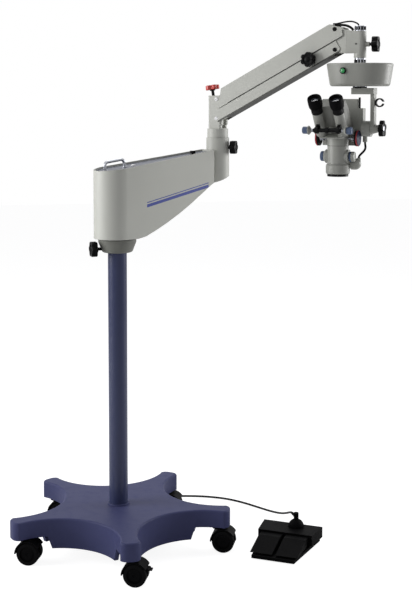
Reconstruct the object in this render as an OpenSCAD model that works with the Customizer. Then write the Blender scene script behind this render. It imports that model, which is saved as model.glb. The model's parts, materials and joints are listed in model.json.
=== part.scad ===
// Surgical microscope on a wheeled floor stand, with its footswitch.
// Z is up, the floor is z = 0 and the front leg points to -Y. Sizes are in millimetres.

/* [Base] */
// Distance from the column axis to the end of a leg
leg_reach = 364; // [345:1:400]
// Width of a leg's end
leg_tip_w = 66; // [60:1:80]
// Corner radius of a leg's end
leg_tip_round = 25; // [15:1:28]
// Radius of the hollow side between two legs
leg_hollow_r = 198; // [185:1:205]
// Narrowest width of a leg
leg_waist_w = 54; // [48:1:62]
// Height of the base's top face above the floor
base_top = 138; // [130:1:150]
// Height of the skirt's lower edge above the floor
base_skirt = 43; // [36:1:55]
// Height of the underside of a leg's end above the floor
tip_floor = 82; // [80:1:90]
// Wall of the base casting
base_wall = 14; // [10:1:16]
// Thickness of the base casting's top
base_roof = 20; // [14:1:24]

/* [Casters] */
// Distance from the end of a leg to its caster's stem
stem_in = 39; // [34:1:46]
// Wheel diameter
wheel_dia = 72; // [66:1:74]
// Width of one wheel
wheel_w = 19; // [14:1:22]
// Distance from the stem to the axle
caster_trail = 20; // [16:1:22]
// Direction in which the casters trail
trail_angle = -20; // [-30:1:30]

/* [Column] */
// Column diameter
column_dia = 60.5; // [54:0.5:66]
// Wall of the column tube
column_wall = 4; // [3:0.5:6]
// Height of the collar's lower edge above the floor
collar_z = 959.5; // [900:0.5:1000]
// Height of the collar
collar_h = 42.5; // [36:0.5:50]
// Largest radius of the collar
collar_r = 61; // [56:0.5:64]

/* [First arm] */
// Direction of the first arm
arm1_angle = 25; // [0:1:60]
// Distance from the column axis to the turret axis
arm1_len = 394; // [370:1:430]
// Radius of the cover's round end
cover_round_r = 69; // [66:0.5:74]
// Half width of the cover where it meets the post
cover_tip_w = 36; // [32:0.5:37]
// Height of the cover at the column axis
cover_h = 227; // [215:1:240]
// Rise of the cover's top for each unit of length
cover_slope = 0.13; // [0.08:0.01:0.16]
// Wall of the cover
cover_wall = 3; // [2:0.5:4]
// Radius of the vertical post at the arm's end
post_r = 38.5; // [38:0.5:42]
// Height of the post's top above the arm's underside
post_rise = 312; // [300:1:330]

/* [Second arm] */
// Direction of the second arm
arm2_angle = -40; // [-60:1:-20]
// Rise angle of the links
arm2_rise = 27.2; // [15:0.1:30]
// Length between the pivots of a link
link_len = 484; // [440:1:520]
// Height between the two pivots of the fork
pivot_gap = 64.4; // [62:0.2:68]
// Outer width of the upper link
link_w = 58; // [56:0.5:62]
// Sheet thickness of the links
link_wall = 2; // [1.5:0.1:2.2]
// Width of the square fork post
fork_w = 48; // [44:0.5:48.5]

/* [Head] */
// Distance from the elbow's pivots to the spindle
head_reach = 75; // [70:1:90]
// Direction of the head's cross axis
head_angle = -34; // [-50:1:-10]
// Width of the lamp housing
lamp_w = 210; // [200:1:230]
// Depth of the lamp housing
lamp_d = 180; // [165:1:190]
// Height of the lamp housing
lamp_h = 72; // [66:1:80]
// Side step from the spindle to the optical axis
optic_side = -64; // [-70:1:-60]
// Forward step from the spindle to the optical axis
optic_front = 20; // [15:1:24]
// Radius of the microscope's barrel
barrel_r = 33.5; // [32:0.5:36]
// Distance between the eyepieces
eye_gap = 69; // [66:0.5:74]
// Angle of the eyepieces above the horizontal
eye_angle = 55; // [50:1:60]

/* [Footswitch] */
// Depth of the footswitch
switch_d = 220; // [200:1:240]
// Width of the footswitch at its front
switch_front_w = 156; // [150:1:170]
// Width of the footswitch at its back
switch_back_w = 200; // [190:1:210]
// Height of the footswitch's rear housing
switch_h = 52; // [46:1:58]

/* [Hidden] */
$fn = 64;

// Fits and cuts
fit = 0.05;
gap = 0.3;
overrun = 2;
bite = 1;

// Place of the column in the part's frame
column_x = -251.7;
column_y = 33.3;

// Colours
slate = [0.36, 0.38, 0.5];
navy = [0.1, 0.1, 0.2];
column_blue = [0.3, 0.34, 0.5];
cover_grey = [0.66, 0.67, 0.64];
head_grey = [0.6, 0.61, 0.6];
panel_blue = [0.45, 0.52, 0.62];
black = [0.06, 0.06, 0.07];
steel = [0.75, 0.76, 0.78];
bronze = [0.72, 0.55, 0.3];
red = [0.75, 0.12, 0.08];
green = [0.15, 0.6, 0.25];
lens_blue = [0.6, 0.7, 0.85];

// Base values
legs = 5;
leg_step = 360 / legs;
hollow_d = (leg_hollow_r + leg_waist_w / 2) / sin(leg_step / 2);
leg_disc_share = 0.85;
rim_round = 6;
rim_steps = 4;
caster_reach = leg_reach - stem_in;
relief_top_in = 66;
relief_foot_in = 78;
relief_top_r = caster_reach - relief_top_in;
relief_foot_r = caster_reach - relief_foot_in;
socket_wall = 16;
socket_r = column_dia / 2 + socket_wall;
socket_seat = 12;
socket_floor = base_skirt + socket_seat;
socket_plate = 8;
foot_lip = 5;
foot_lip_r = column_dia / 2 + foot_lip;

// Caster values
axle_r = 4;
wheel_r = wheel_dia / 2;
web_w = 13;
web_low = 16;
wheel_gap = 1.5;
hood_gap = 1.4;
hood_r = wheel_r + hood_gap;
hood_t = 4;
hood_side = 1.5;
hood_w = 2 * (web_w / 2 + wheel_gap + wheel_w + hood_side);
hood_start = 32;
stem_r = 8;
stem_boss_r = 24;
stem_len = 40;
neck_r = 17;
tyre_round = 5;
brake_pin_r = 2.5;
brake_w = 20;
brake_t = 4;
brake_len = 12;
brake_angle = 21;
brake_step = 3;
brake_out = hood_r + brake_step;
lug_t = 4;
lug_r = 5;
lug_side = brake_w / 2 + gap + lug_t / 2;

// Column values
column_r = column_dia / 2;
arm_gap = 3;
arm_z = collar_z + collar_h + arm_gap;
bush_t = 3.75;
bush_h = 20;
bush_r = column_r + bush_t;
sleeve_wall = 9;
sleeve_r = bush_r + sleeve_wall;
column_in = 190;
column_top = arm_z + column_in;
sleeve_top = column_top + sleeve_wall;
collar_lip_in = 10;
collar_lip_r = collar_r - collar_lip_in;
collar_round = 9;

// Lock knob values, shared by the four black knobs
knob_t = 20;
knob_dent_r = 8;
screw_r = 5;
screw_tip = 1;
screw_bite = 3;
boss_share = 1.5;
collar_knob_r = 25.5;
collar_knob_out = 68;
collar_knob_angle = 190;
collar_knob_up = 12;
collar_knob_z = collar_z + collar_knob_up;
turret_knob_r = 23.5;
turret_knob_out = 45;
turret_knob_angle = -27;
turret_knob_drop = 32;
arm_knob_r = 24;
arm_knob_out = 33;
arm_knob_in = 89;
arm_knob_along = link_len - arm_knob_in;
arm_knob_up = 12;
head_knob_r = 26;
head_knob_out = 39;
head_knob_angle = -30;
tilt_knob_r = 26.5;

// First arm values
cover_back = 7;
cover_gap = 1;
cover_end = arm1_len - post_r - cover_gap;
cover_taper = asin((cover_round_r - cover_tip_w) / (cover_end + cover_back));
cover_facets = 40;
panel_t = 4;
panel_drop = 6;
belly_shares = [[0.115, 0], [0.2, 0.024], [0.3, 0.088], [0.43, 0.182], [0.58, 0.305], [0.73, 0.445],
  [0.81, 0.53], [0.88, 0.6], [0.95, 0.675], [1, 0.72]];
beam_w = 26;
beam_h = 40;
beam_clear = 2;
beam_z = arm_z + cover_h - panel_drop - panel_t - beam_clear - beam_h;
post_foot = 160;
post_slant = 20;
stem_bore_r = 20;
stem_depth = 80;
handle_r = 5;
handle_len = 72;
handle_h = 27;
handle_at = -7;
handle_bend = 12;
handle_pad_r = 8;
dial_r = 9.5;
dial_h = 10;
dial_in = 102;
dial_at = arm1_len - dial_in;
dial_shaft_r = 3;
unit_len = 130;
unit_w = 70;
unit_h = 78;
unit_at = 58;
unit_gap = 0.3;

// Turret and link values
turret_z = arm_z + post_rise;
ring_r = 35;
ring_h = 30;
fork_top = 141;
low_pivot = 65;
pivot_ahead = 8.5;
pin_r = 4;
link_eye_r = 9.4;
lug_w = 22;
lug_len = 54;
fork_play = 1;
fork_slot_w = lug_w + fork_play;
fork_web = 16;
fork_round = 6;
bumper_w = 40;
bumper_t = 4;
bumper_h = 17;
bumper_up = 13;
balance_r = 24;
balance_t = 15;
balance_lean = 9;
balance_back = 17;
balance_out = 20;
link_play = 1.2;
link_in = fork_w + link_play;
low_link_w = link_in + 2 * link_wall;
link_step = 0.8;
up_link_in = low_link_w + link_step;
up_wall = (link_w - up_link_in) / 2;
up_top = 22.6;
up_foot = -32;
low_top = 24;
low_foot = -13.5;
up_start = 34;
up_end_share = 0.98;
up_back = 7;
up_nose = 22;
up_nose_foot = 15;
low_start = 20;
low_nose = 17;
low_nose_top = 15;
low_nose_foot = 8;
low_nose_drop = 5;
low_cut = 16;
web_foot = -22;
web_t = 8;
web_near = 50;
web_far = 92;
spring_r = 11;
spring_rod_r = 5;
spring_drop = 4;
elbow_rise = link_len * sin(arm2_rise);
elbow_run = link_len * cos(arm2_rise);

// Head values, heights from the elbow's lower pivot
block_w = fork_w;
block_foot = -10.6;
block_top = 58;
block_crown = 8;
head_tube_r = 19.4;
head_knob_z = 16.7;
head_boss_share = 1.55;
head_tube_foot = -26;
spindle_r = 10;
nut_r = 17;
nut_h = 16;
groove_r = 2;
grooves = 12;
collar_ring_r = 17.5;
lamp_top = -43;
lamp_foot = lamp_top - lamp_h;
lamp_wall = 3;
lamp_round = 10;
lamp_taper = 9;
floor_t = 4;
knurl_r = 22;
knurl_h = 6;
hanger_top = lamp_foot - knurl_h + bite;
hanger_t = 20;
hanger_left = 22;
hanger_right = 50.5;
hanger_d = 40;
drop_w = 12;
drop_d = 26;
tilt_z = -248;
hub_r = 25;
hub_left = 24;
cone_left = 38.5;
cone_right = 62;
cone_r = 18;
cone_tip_r = 11;
tilt_pin_r = 9;
tilt_pin_len = 14;
tilt_knob_left = 66;
tilt_knob_t = 15;
hook_r = 14;
hook_bar = 8;
hook_up = 82;
hook_w = 14;
hook_turn = -15;
button_r = 7;
button_out = 4;
button_angle = -98;
button_drop = 24;
button_len = 14;
button_lip = 2;

// Optics values, heights from the tilt axis
carrier_front = 22;
carrier_near = 8;
carrier_hub = 10.5;
carrier_back = 38;
carrier_up = 24;
carrier_plate = 18;
carrier_top = 64;
carrier_down = 25;
socket_cable_r = 6.5;
socket_h = 18;
socket_side = 12;
box_w = 118;
box_side = -5;
box_front = 36;
box_d = 22;
box_up = 93;
box_down = 55;
box_wall = 4;
drive_w = 30;
drive_h = 90;
drive_slot = 26;
drive_t = 8;
body_top = -6;
body_seam = -53;
body_flare = -110;
body_foot = -143;
flare_r = 38;
flare_tip_r = 36;
flare_h = 6;
ring_foot = -151;
lens_r = 25;
lens_t = 8;
lens_edge = 3;
prism_back = 27.4;
prism_step = 8;
prism_lean = 1;
prism_mid = 56;
prism_peak = 92;
prism_peak_in = 49;
prism_top = 70;
prism_w = 76;
face_drop = 14;
face_rim = 2;
tube_clear = 3;
head_wall = 4;
mag_z = -30;
mag_r = 25.5;
mag_t = 12;
mag_side = 64;
mag_rim = 3;
knob_edge = 2;
shaft_r = 4;
filter_z = -88;
filter_boss_r = 22;
filter_t = 12;
filter_side = 50;
filter_r = 16;
elbow_z = -112.5;
guide_r = 18;
guide_len = 12;
guide_back = 24;
guide_neck_r = 6.5;
guide_neck_h = 20;
guide_step = 3;
guide_seat = flare_r - barrel_r;
guide_in = 11;
guide_left = barrel_r + guide_seat + gap;
cable_in = 4;
cable_bow = 9;
cable_r = 3.5;
cable_sides = 8;
thin_cable_shares = [[-0.2, 0.37], [-0.05, 0.36], [0.15, 0.16], [0.4, -0.07], [0.65, -0.09], [0.85, 0.28],
  [0.94, 0.65], [0.96, 0.93]];
thick_cable_shares = [[-0.2, 0.28], [-0.05, 0.27], [0.12, 0.28], [0.3, 0.34], [0.45, 0.48], [0.55, 0.64],
  [0.61, 0.78], [0.62, 0.91]];
thin_cable_r = 2.5;
thin_cable_side = 6;
thick_cable_r = 4;
thick_cable_side = 8;

// Eyepiece values, lengths along the tube from the head's slanted face
eye_foot_front = 55;
eye_foot_z = -15;
tube_r = 16.5;
tube_len = 138;
cup_r = 22.5;
cup_len = 56;
cup_seat = 4;
cup_shares = [[0, 0], [0.78, 0], [0.78, 0.35], [0.92, 0.39], [1, 0.6], [0.99, 0.9], [0.94, 1], [0.72, 1],
  [0.65, 0.82], [0, 0.78]];
face_gap = 0.3;
pd_front = 107;
pd_z = -3;
pd_r = 6.5;
pd_half = 55;
pd_thin_r = 3.5;
pd_cap_r = 11.5;
pd_cap_side = 61;
pd_cap_len = 19;
pd_boss_w = 16;
pd_wall = 3;

// Footswitch values
switch_x = 459;
switch_y = -233;
switch_angle = -31;
switch_split = 128;
switch_plate = 14;
switch_lift = 4;
switch_round = 8;
pedal_gap = 9;
pedal_side = 6;
pedal_front = 10;
pedal_front_top = 20;
pedal_back_top = 46;
pedal_flat = 30;
pedal_seat = 5;
pedal_lug_t = 4;
pedal_lug_d = 18;
pedal_lug_top = 36;
pedal_pin_r = 3;
pedal_pin_z = 30;
pedal_pin_in = 9;
gland_r = 26;
gland_side = 18;
gland_y = 194;
gland_stub_r = 8;
gland_stub_h = 47;
relief_z = 33;
relief_angle = 128;
relief_r = 6;
relief_tip_r = 4.2;
relief_len = 40;
foot_r = 9;
foot_inset = 22;

// Route of the footswitch's cable, out of the column's foot and along the floor
foot_cable_r = 3.5;
foot_cable_sides = 8;
foot_cable_points = [[0, 0, 75], [0, 0, 60], [0, 0, 45], [0, 3, 30], [0, 11, 17], [0, 26, 8],
  [0, 45, 5], [2, 75, 4], [6, 110, 4], [12, 150, 4], [20, 195, 4], [32, 240, 4], [50, 285, 4],
  [75, 330, 4], [105, 368, 4], [140, 397, 4], [180, 416, 4], [220, 424, 4], [260, 425, 4],
  [300, 419, 4], [340, 409, 4], [380, 393, 4], [418, 372, 4], [454, 342, 4], [486, 306, 4],
  [513, 266, 5], [534, 222, 9], [549, 178, 16], [559, 134, 26], [565, 92, 38], [569, 52, 52],
  [571, 14, 67], [571.4, -12, 77], [569.6, -36.3, 84]];

function leg_angle(i) = -90 + i * leg_step;

module ring_body(r, bore, h) {
  difference() {
    cylinder(r = r, h = h);
    translate([0, 0, -overrun]) cylinder(r = bore, h = h + 2 * overrun);
  }
}

module block(low, high) {
  translate(low) cube(high - low);
}

module column_frame() {
  translate([column_x, column_y, 0]) children();
}

module arm1_frame() {
  column_frame() rotate([0, 0, arm1_angle]) children();
}

module turret_frame() {
  arm1_frame() translate([arm1_len, 0, turret_z]) rotate([0, 0, arm2_angle - arm1_angle]) children();
}

module link_frame(pivot) {
  turret_frame() translate([pivot_ahead, 0, pivot]) rotate([0, -arm2_rise, 0]) children();
}

module elbow_frame() {
  turret_frame() translate([pivot_ahead + elbow_run, 0, low_pivot + elbow_rise]) children();
}

module head_frame() {
  elbow_frame() translate([head_reach, 0, 0]) rotate([0, 0, head_angle - arm2_angle]) children();
}

module optic_frame() {
  head_frame() translate([optic_side, -optic_front, tilt_z]) children();
}

module switch_frame() {
  column_frame() translate([switch_x, switch_y, 0]) rotate([0, 0, switch_angle]) children();
}

module caster_frame(i) {
  column_frame() rotate([0, 0, leg_angle(i)]) translate([caster_reach, 0, 0])
    rotate([0, 0, trail_angle - leg_angle(i)]) children();
}

// A round knob with dents in its rim, its face along X and its screw towards the axis
module lock_knob(r, out, t, lobes, reach) {
  rotate([0, 90, 0]) {
    translate([0, 0, out]) difference() {
      cylinder(r = r, h = t);
      for (k = [0:lobes - 1]) rotate([0, 0, (k + 0.5) * 360 / lobes])
        translate([r + knob_dent_r / 2, 0, -overrun]) cylinder(r = knob_dent_r, h = t + 2 * overrun);
    }
    translate([0, 0, reach]) cylinder(r = screw_r, h = out - reach + bite);
  }
}

// Outline of the base seen from above, drawn in by an inset
module star(inset) {
  tip_r = leg_tip_round - inset;
  end = leg_reach - inset;
  half = leg_tip_w / 2 - inset;
  difference() {
    union() {
      circle(r = leg_reach * leg_disc_share);
      for (i = [0:legs - 1]) rotate(leg_angle(i)) {
        translate([leg_reach / 2, -half]) square([end - tip_r - leg_reach / 2, 2 * half]);
        translate([leg_reach / 2, tip_r - half]) square([end - leg_reach / 2, 2 * (half - tip_r)]);
        for (s = [-1, 1]) translate([end - tip_r, s * (half - tip_r)]) circle(r = tip_r);
      }
    }
    for (i = [0:legs - 1]) rotate(leg_angle(i) + leg_step / 2)
      translate([hollow_d, 0]) circle(r = leg_hollow_r + inset, $fn = 128);
  }
}

module base_casting() {
  color(slate) column_frame() difference() {
    union() {
      translate([0, 0, base_skirt]) linear_extrude(base_top - rim_round - base_skirt) star(0);
      for (k = [1:rim_steps]) {
        a = 90 * (k - 1) / rim_steps;
        b = 90 * k / rim_steps;
        translate([0, 0, base_top - rim_round + rim_round * sin(a)])
          linear_extrude(rim_round * (sin(b) - sin(a))) star(rim_round * (1 - cos((a + b) / 2)));
      }
      cylinder(r = foot_lip_r, h = base_top + foot_lip);
    }
    difference() {
      translate([0, 0, -overrun]) linear_extrude(base_top - base_roof + overrun) star(base_wall);
      translate([0, 0, socket_floor - socket_plate]) cylinder(r = socket_r, h = base_top);
      for (i = [0:legs - 1]) rotate([0, 0, leg_angle(i)]) translate([caster_reach, 0, 0])
        cylinder(r = stem_boss_r, h = base_top);
    }
    rotate_extrude($fn = 128) polygon([[relief_foot_r, -overrun], [relief_foot_r, base_skirt],
      [relief_top_r, tip_floor], [leg_reach + overrun, tip_floor], [leg_reach + overrun, -overrun]]);
    translate([0, 0, socket_floor]) cylinder(r = column_r + fit, h = base_top);
    cylinder(r = foot_cable_r + fit, h = base_top);
    for (i = [0:legs - 1]) rotate([0, 0, leg_angle(i)]) translate([caster_reach, 0, -overrun])
      cylinder(r = stem_r + fit, h = tip_floor + stem_len + gap + overrun);
  }
}

module column_tube() {
  foot = socket_floor + gap;
  color(column_blue) column_frame() translate([0, 0, foot])
    ring_body(column_r, column_r - column_wall, column_top - foot);
}

// Casters
module caster_wheels(i) {
  side = web_w / 2 + wheel_gap;
  color(black) caster_frame(i) translate([caster_trail, 0, wheel_r]) rotate([90, 0, 0]) {
    for (s = [0, 1]) mirror([0, 0, s]) translate([0, 0, side]) rotate_extrude()
      polygon([[0, 0], [wheel_r, 0], [wheel_r, wheel_w - tyre_round],
        for (a = [0:30:90])
          [wheel_r - tyre_round + tyre_round * cos(a), wheel_w - tyre_round + tyre_round * sin(a)],
        [0, wheel_w]]);
    cylinder(r = axle_r, h = 2 * side + overrun, center = true);
  }
}

module caster_hood(i, braked) {
  turn_r = hood_r + hood_t;
  color(black) caster_frame(i) {
    translate([caster_trail, 0, wheel_r]) rotate([90, 0, 0]) difference() {
      union() {
        difference() {
          cylinder(r = turn_r, h = hood_w, center = true);
          cylinder(r = hood_r, h = hood_w + overrun, center = true);
          translate([-2 * turn_r, -2 * turn_r, -hood_w])
            cube([4 * turn_r, 2 * turn_r, 2 * hood_w]);
          rotate([0, 0, hood_start - 90]) translate([0, -overrun, -hood_w])
            cube([2 * turn_r, 2 * turn_r, 2 * hood_w]);
        }
        difference() {
          cylinder(r = hood_r + overrun, h = web_w, center = true);
          translate([0, -2 * turn_r, -hood_w]) cube([2 * turn_r, 2 * turn_r, 2 * hood_w]);
          translate([-2 * turn_r, -web_low - 2 * turn_r, -hood_w])
            cube([4 * turn_r, 2 * turn_r, 2 * hood_w]);
        }
        if (braked) {
          for (s = [-1, 1]) rotate([0, 0, brake_angle]) translate([brake_out, 0, s * lug_side]) {
            cylinder(r = lug_r, h = lug_t, center = true);
            rotate([0, 0, hood_start - brake_angle]) translate([-lug_r, 0, -lug_t / 2])
              cube([lug_r, 2 * lug_r, lug_t]);
          }
        }
      }
      cylinder(r = axle_r + fit, h = hood_w, center = true);
      if (braked) {
        rotate([0, 0, brake_angle]) translate([brake_out, 0, 0]) {
          cylinder(r = brake_pin_r + fit, h = hood_w, center = true);
          cylinder(r = brake_pin_r + bite + gap, h = brake_w + 2 * gap, center = true);
        }
        for (s = [0, 1]) mirror([0, 0, s]) translate([0, 0, web_w / 2])
          cylinder(r = wheel_r + gap, h = hood_w);
      }
    }
    translate([0, 0, wheel_r + hood_r]) cylinder(r = neck_r, h = tip_floor - gap - wheel_r - hood_r);
    translate([0, 0, wheel_r + hood_r + overrun])
      cylinder(r = stem_r, h = tip_floor + stem_len - wheel_r - hood_r - overrun);
  }
}

module brake_lever() {
  color(black) caster_frame(0) translate([caster_trail, 0, wheel_r]) rotate([90, 0, 0])
    rotate([0, 0, brake_angle]) translate([brake_out, 0, 0]) {
      cylinder(r = brake_pin_r, h = brake_w + 2 * gap + 2 * lug_t, center = true);
      cylinder(r = brake_pin_r + bite, h = brake_w, center = true);
      rotate([0, 0, -brake_angle])
        block([0, -brake_t / 2, bite - brake_w / 2], [brake_len, brake_t / 2, brake_w / 2 - bite]);
    }
}

// Collar and bushes on the column
module collar_cup() {
  color(cover_grey) arm1_frame() difference() {
    translate([0, 0, collar_z]) rotate_extrude() polygon([[0, 0],
      for (a = [-90:15:-15])
        [collar_lip_r - collar_round + collar_round * cos(a), collar_round + collar_round * sin(a)],
      [collar_r, collar_h - collar_round], [collar_r, collar_h], [0, collar_h]]);
    translate([0, 0, collar_z - overrun]) cylinder(r = column_r + gap, h = collar_h + 2 * overrun);
    translate([0, 0, collar_knob_z]) rotate([0, 0, collar_knob_angle - arm1_angle]) rotate([0, 90, 0])
      cylinder(r = screw_r + fit, h = 2 * collar_r);
  }
}

module column_bushes() {
  color(bronze) arm1_frame() for (z = [arm_z + gap, column_top - bush_h])
    translate([0, 0, z]) ring_body(bush_r, column_r + fit, bush_h);
}

module collar_knob() {
  color(black) column_frame() translate([0, 0, collar_knob_z]) rotate([0, 0, collar_knob_angle])
    lock_knob(collar_knob_r, collar_knob_out, knob_t, 6, column_r + gap);
}

// First arm
module post_shape() {
  difference() {
    cylinder(r = post_r, h = post_rise);
    translate([-post_r, 0, post_foot]) rotate([0, -post_slant, 0])
      translate([-2 * post_r, -2 * post_r, -2 * post_rise]) cube([6 * post_r, 4 * post_r, 2 * post_rise]);
  }
}

module arm1_casting() {
  color(cover_grey) arm1_frame() difference() {
    union() {
      translate([0, 0, arm_z]) cylinder(r = sleeve_r, h = sleeve_top - arm_z);
      translate([0, -beam_w / 2, beam_z]) cube([arm1_len - post_r / 2, beam_w, beam_h]);
      translate([arm1_len, 0, arm_z]) post_shape();
    }
    translate([0, 0, arm_z - overrun]) cylinder(r = bush_r + fit, h = column_top + gap - arm_z + overrun);
    translate([arm1_len, 0, turret_z - stem_depth]) cylinder(r = stem_bore_r + fit, h = stem_depth + overrun);
    translate([arm1_len, 0, turret_z - turret_knob_drop]) rotate([0, 0, turret_knob_angle - arm1_angle])
      rotate([0, 90, 0]) cylinder(r = screw_r + fit, h = 2 * post_r);
  }
}

// Outline of the cover seen from above, drawn in by an inset
module cover_plan(inset) {
  r = cover_round_r - inset;
  w = cover_tip_w - inset;
  end = cover_end - inset;
  sweep = 180 + 2 * cover_taper;
  polygon([for (k = [0:cover_facets]) let (a = 90 - cover_taper + sweep * k / cover_facets)
    [r * cos(a) - cover_back, r * sin(a)], [end, -w], [end, w]]);
}

// Side outline of the cover, drawn in by an inset
module cover_side(inset, top_drop) {
  left = -cover_back - cover_round_r - overrun;
  right = cover_end + overrun;
  top = cover_h - top_drop;
  polygon([[left, inset],
    for (b = belly_shares) [b[0] * cover_end + inset / 2, b[1] * cover_h + inset],
    [right, belly_shares[len(belly_shares) - 1][1] * cover_h + inset],
    [right, top + cover_slope * right], [left, top + cover_slope * left]]);
}

module cover_solid(inset, top_drop) {
  intersection() {
    translate([0, 0, -overrun]) linear_extrude(2 * cover_h) cover_plan(inset);
    translate([0, cover_round_r + overrun, 0]) rotate([90, 0, 0])
      linear_extrude(2 * (cover_round_r + overrun)) cover_side(inset, top_drop);
  }
}

module arm1_cover() {
  color(cover_grey) arm1_frame() translate([0, 0, arm_z]) difference() {
    cover_solid(0, 0);
    cover_solid(cover_wall, -2 * overrun);
    translate([0, 0, -overrun]) cylinder(r = sleeve_r + gap, h = cover_wall + 2 * overrun);
    translate([arm1_len, 0, 0]) cylinder(r = post_r + gap, h = 2 * cover_h);
    block([cover_end - cover_wall - overrun, -beam_w / 2 - gap, beam_z - arm_z - gap],
      [cover_end + overrun, beam_w / 2 + gap, beam_z - arm_z + beam_h + gap]);
  }
}

module arm1_top_panel() {
  left = -cover_back - cover_round_r;
  top = cover_h - panel_drop;
  color(panel_blue) arm1_frame() translate([0, 0, arm_z]) difference() {
    intersection() {
      linear_extrude(2 * cover_h) cover_plan(cover_wall + gap);
      translate([0, cover_round_r, 0]) rotate([90, 0, 0]) linear_extrude(2 * cover_round_r)
        polygon([[left, top + cover_slope * left], [cover_end, top + cover_slope * cover_end],
          [cover_end, top - panel_t + cover_slope * cover_end], [left, top - panel_t + cover_slope * left]]);
    }
    translate([dial_at, 0, 0]) cylinder(r = dial_shaft_r + fit, h = 2 * cover_h);
  }
}

module carry_handle() {
  tilt = atan(cover_slope);
  foot = cover_h - panel_drop + cover_slope * handle_at + gap;
  color(steel) arm1_frame() translate([handle_at, 0, arm_z + foot]) rotate([0, -tilt, 0]) {
    for (s = [-1, 1]) {
      translate([s * handle_len / 2, 0, 0]) cylinder(r = handle_r, h = handle_h - handle_bend);
      translate([s * handle_len / 2, 0, 0]) cylinder(r = handle_pad_r, h = handle_r / 2);
      translate([s * (handle_len / 2 - handle_bend), 0, handle_h - handle_bend]) rotate([90, 0, 0])
        rotate([0, 0, s < 0 ? 90 : 0]) rotate_extrude(angle = 90) translate([handle_bend, 0])
          circle(r = handle_r);
    }
    translate([0, 0, handle_h]) rotate([0, 90, 0])
      cylinder(r = handle_r, h = handle_len - 2 * handle_bend, center = true);
  }
}

module brightness_dial() {
  tilt = atan(cover_slope);
  color(black) arm1_frame() translate([dial_at, 0, arm_z + cover_h - panel_drop + cover_slope * dial_at]) {
    translate([0, 0, gap + dial_r * cover_slope]) cylinder(r = dial_r, h = dial_h);
    translate([0, 0, -2 * panel_t]) cylinder(r = dial_shaft_r, h = 3 * panel_t);
  }
}

module power_unit() {
  color(steel) arm1_frame() translate([unit_at, -unit_w / 2, beam_z - unit_gap - unit_h])
    cube([unit_len, unit_w, unit_h]);
}

module turret_knob() {
  color(black) arm1_frame() translate([arm1_len, 0, turret_z - turret_knob_drop])
    rotate([0, 0, turret_knob_angle - arm1_angle])
      lock_knob(turret_knob_r, turret_knob_out, knob_t, 6, stem_bore_r + gap);
}

// Turret and parallel links
module square_post(w, h, r) {
  for (q = [[w, w - 2 * r], [w - 2 * r, w]]) translate([-q[0] / 2, -q[1] / 2, 0])
    cube([q[0], q[1], h]);
  for (x = [-1, 1], y = [-1, 1]) translate([x * (w / 2 - r), y * (w / 2 - r), 0])
    cylinder(r = r, h = h);
}

module turret_yoke() {
  color(cover_grey) turret_frame() difference() {
    union() {
      translate([0, 0, gap - stem_depth]) cylinder(r = stem_bore_r, h = stem_depth + ring_h / 2);
      translate([0, 0, gap]) cylinder(r = ring_r, h = ring_h);
      translate([0, 0, ring_h / 2]) square_post(fork_w, fork_top - ring_h / 2, fork_round);
      for (s = [-1, 1]) translate([fork_w / 2, s * (fork_slot_w + bumper_w) / 4, low_pivot - bumper_up])
        cube([2 * bumper_t, (bumper_w - fork_slot_w) / 2, bumper_h], center = true);
    }
    translate([fork_web - fork_w / 2, -fork_slot_w / 2, ring_h + overrun])
      cube([fork_w, fork_slot_w, fork_top]);
    for (z = [low_pivot, low_pivot + pivot_gap]) translate([pivot_ahead, 0, z]) rotate([90, 0, 0])
      cylinder(r = pin_r + fit, h = 2 * fork_w, center = true);
    translate([-balance_back, 0, fork_top]) rotate([0, -balance_lean, 0]) translate([0, 0, -balance_out])
      cylinder(r = screw_r + fit, h = 2 * balance_out);
  }
}

module balance_knob() {
  color(red) turret_frame() translate([-balance_back, 0, fork_top]) rotate([0, -balance_lean, 0])
    rotate([0, -90, 0]) lock_knob(balance_r, balance_out, balance_t, 5, -balance_out + screw_tip);
}

module yoke_pins() {
  color(steel) turret_frame() for (z = [low_pivot, low_pivot + pivot_gap])
    translate([pivot_ahead, 0, z]) rotate([90, 0, 0])
      cylinder(r = pin_r, h = fork_w + 2 * gap, center = true);
}

module side_plate(points, w) {
  translate([0, w / 2, 0]) rotate([90, 0, 0]) linear_extrude(w) polygon(points);
}

// Cross web of a link, with its sides and its height from v0 to v1
module link_web(s, v0, v1, w) {
  block([s, -w / 2, v0], [s + web_t, w / 2, v1]);
}

module eye_bar(w) {
  rotate([90, 0, 0]) cylinder(r = link_eye_r, h = w, center = true);
  block([0, -w / 2, -link_eye_r], [lug_len, w / 2, link_eye_r]);
}

module upper_link() {
  far = link_len - web_far;
  color(cover_grey) link_frame(low_pivot + pivot_gap) difference() {
    union() {
      difference() {
        side_plate([[-up_back, up_foot], [up_start, up_top], [link_len * up_end_share, up_top],
          [link_len + up_nose, -up_back], [link_len + up_nose_foot, up_foot]], link_w);
        block([-up_start, -up_link_in / 2, 2 * up_foot],
          [link_len + 2 * up_start, up_link_in / 2, up_top - up_wall]);
      }
      link_web(web_near, web_foot, up_top, up_link_in + up_wall);
      link_web(far, web_foot, up_top, up_link_in + up_wall);
      eye_bar(lug_w);
    }
    for (s = [0, link_len]) translate([s, 0, 0]) rotate([90, 0, 0])
      cylinder(r = pin_r + fit, h = 2 * link_w, center = true);
    translate([far - overrun, 0, -spring_drop]) rotate([0, 90, 0])
      cylinder(r = spring_rod_r + fit, h = web_t + 2 * overrun);
  }
}

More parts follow.
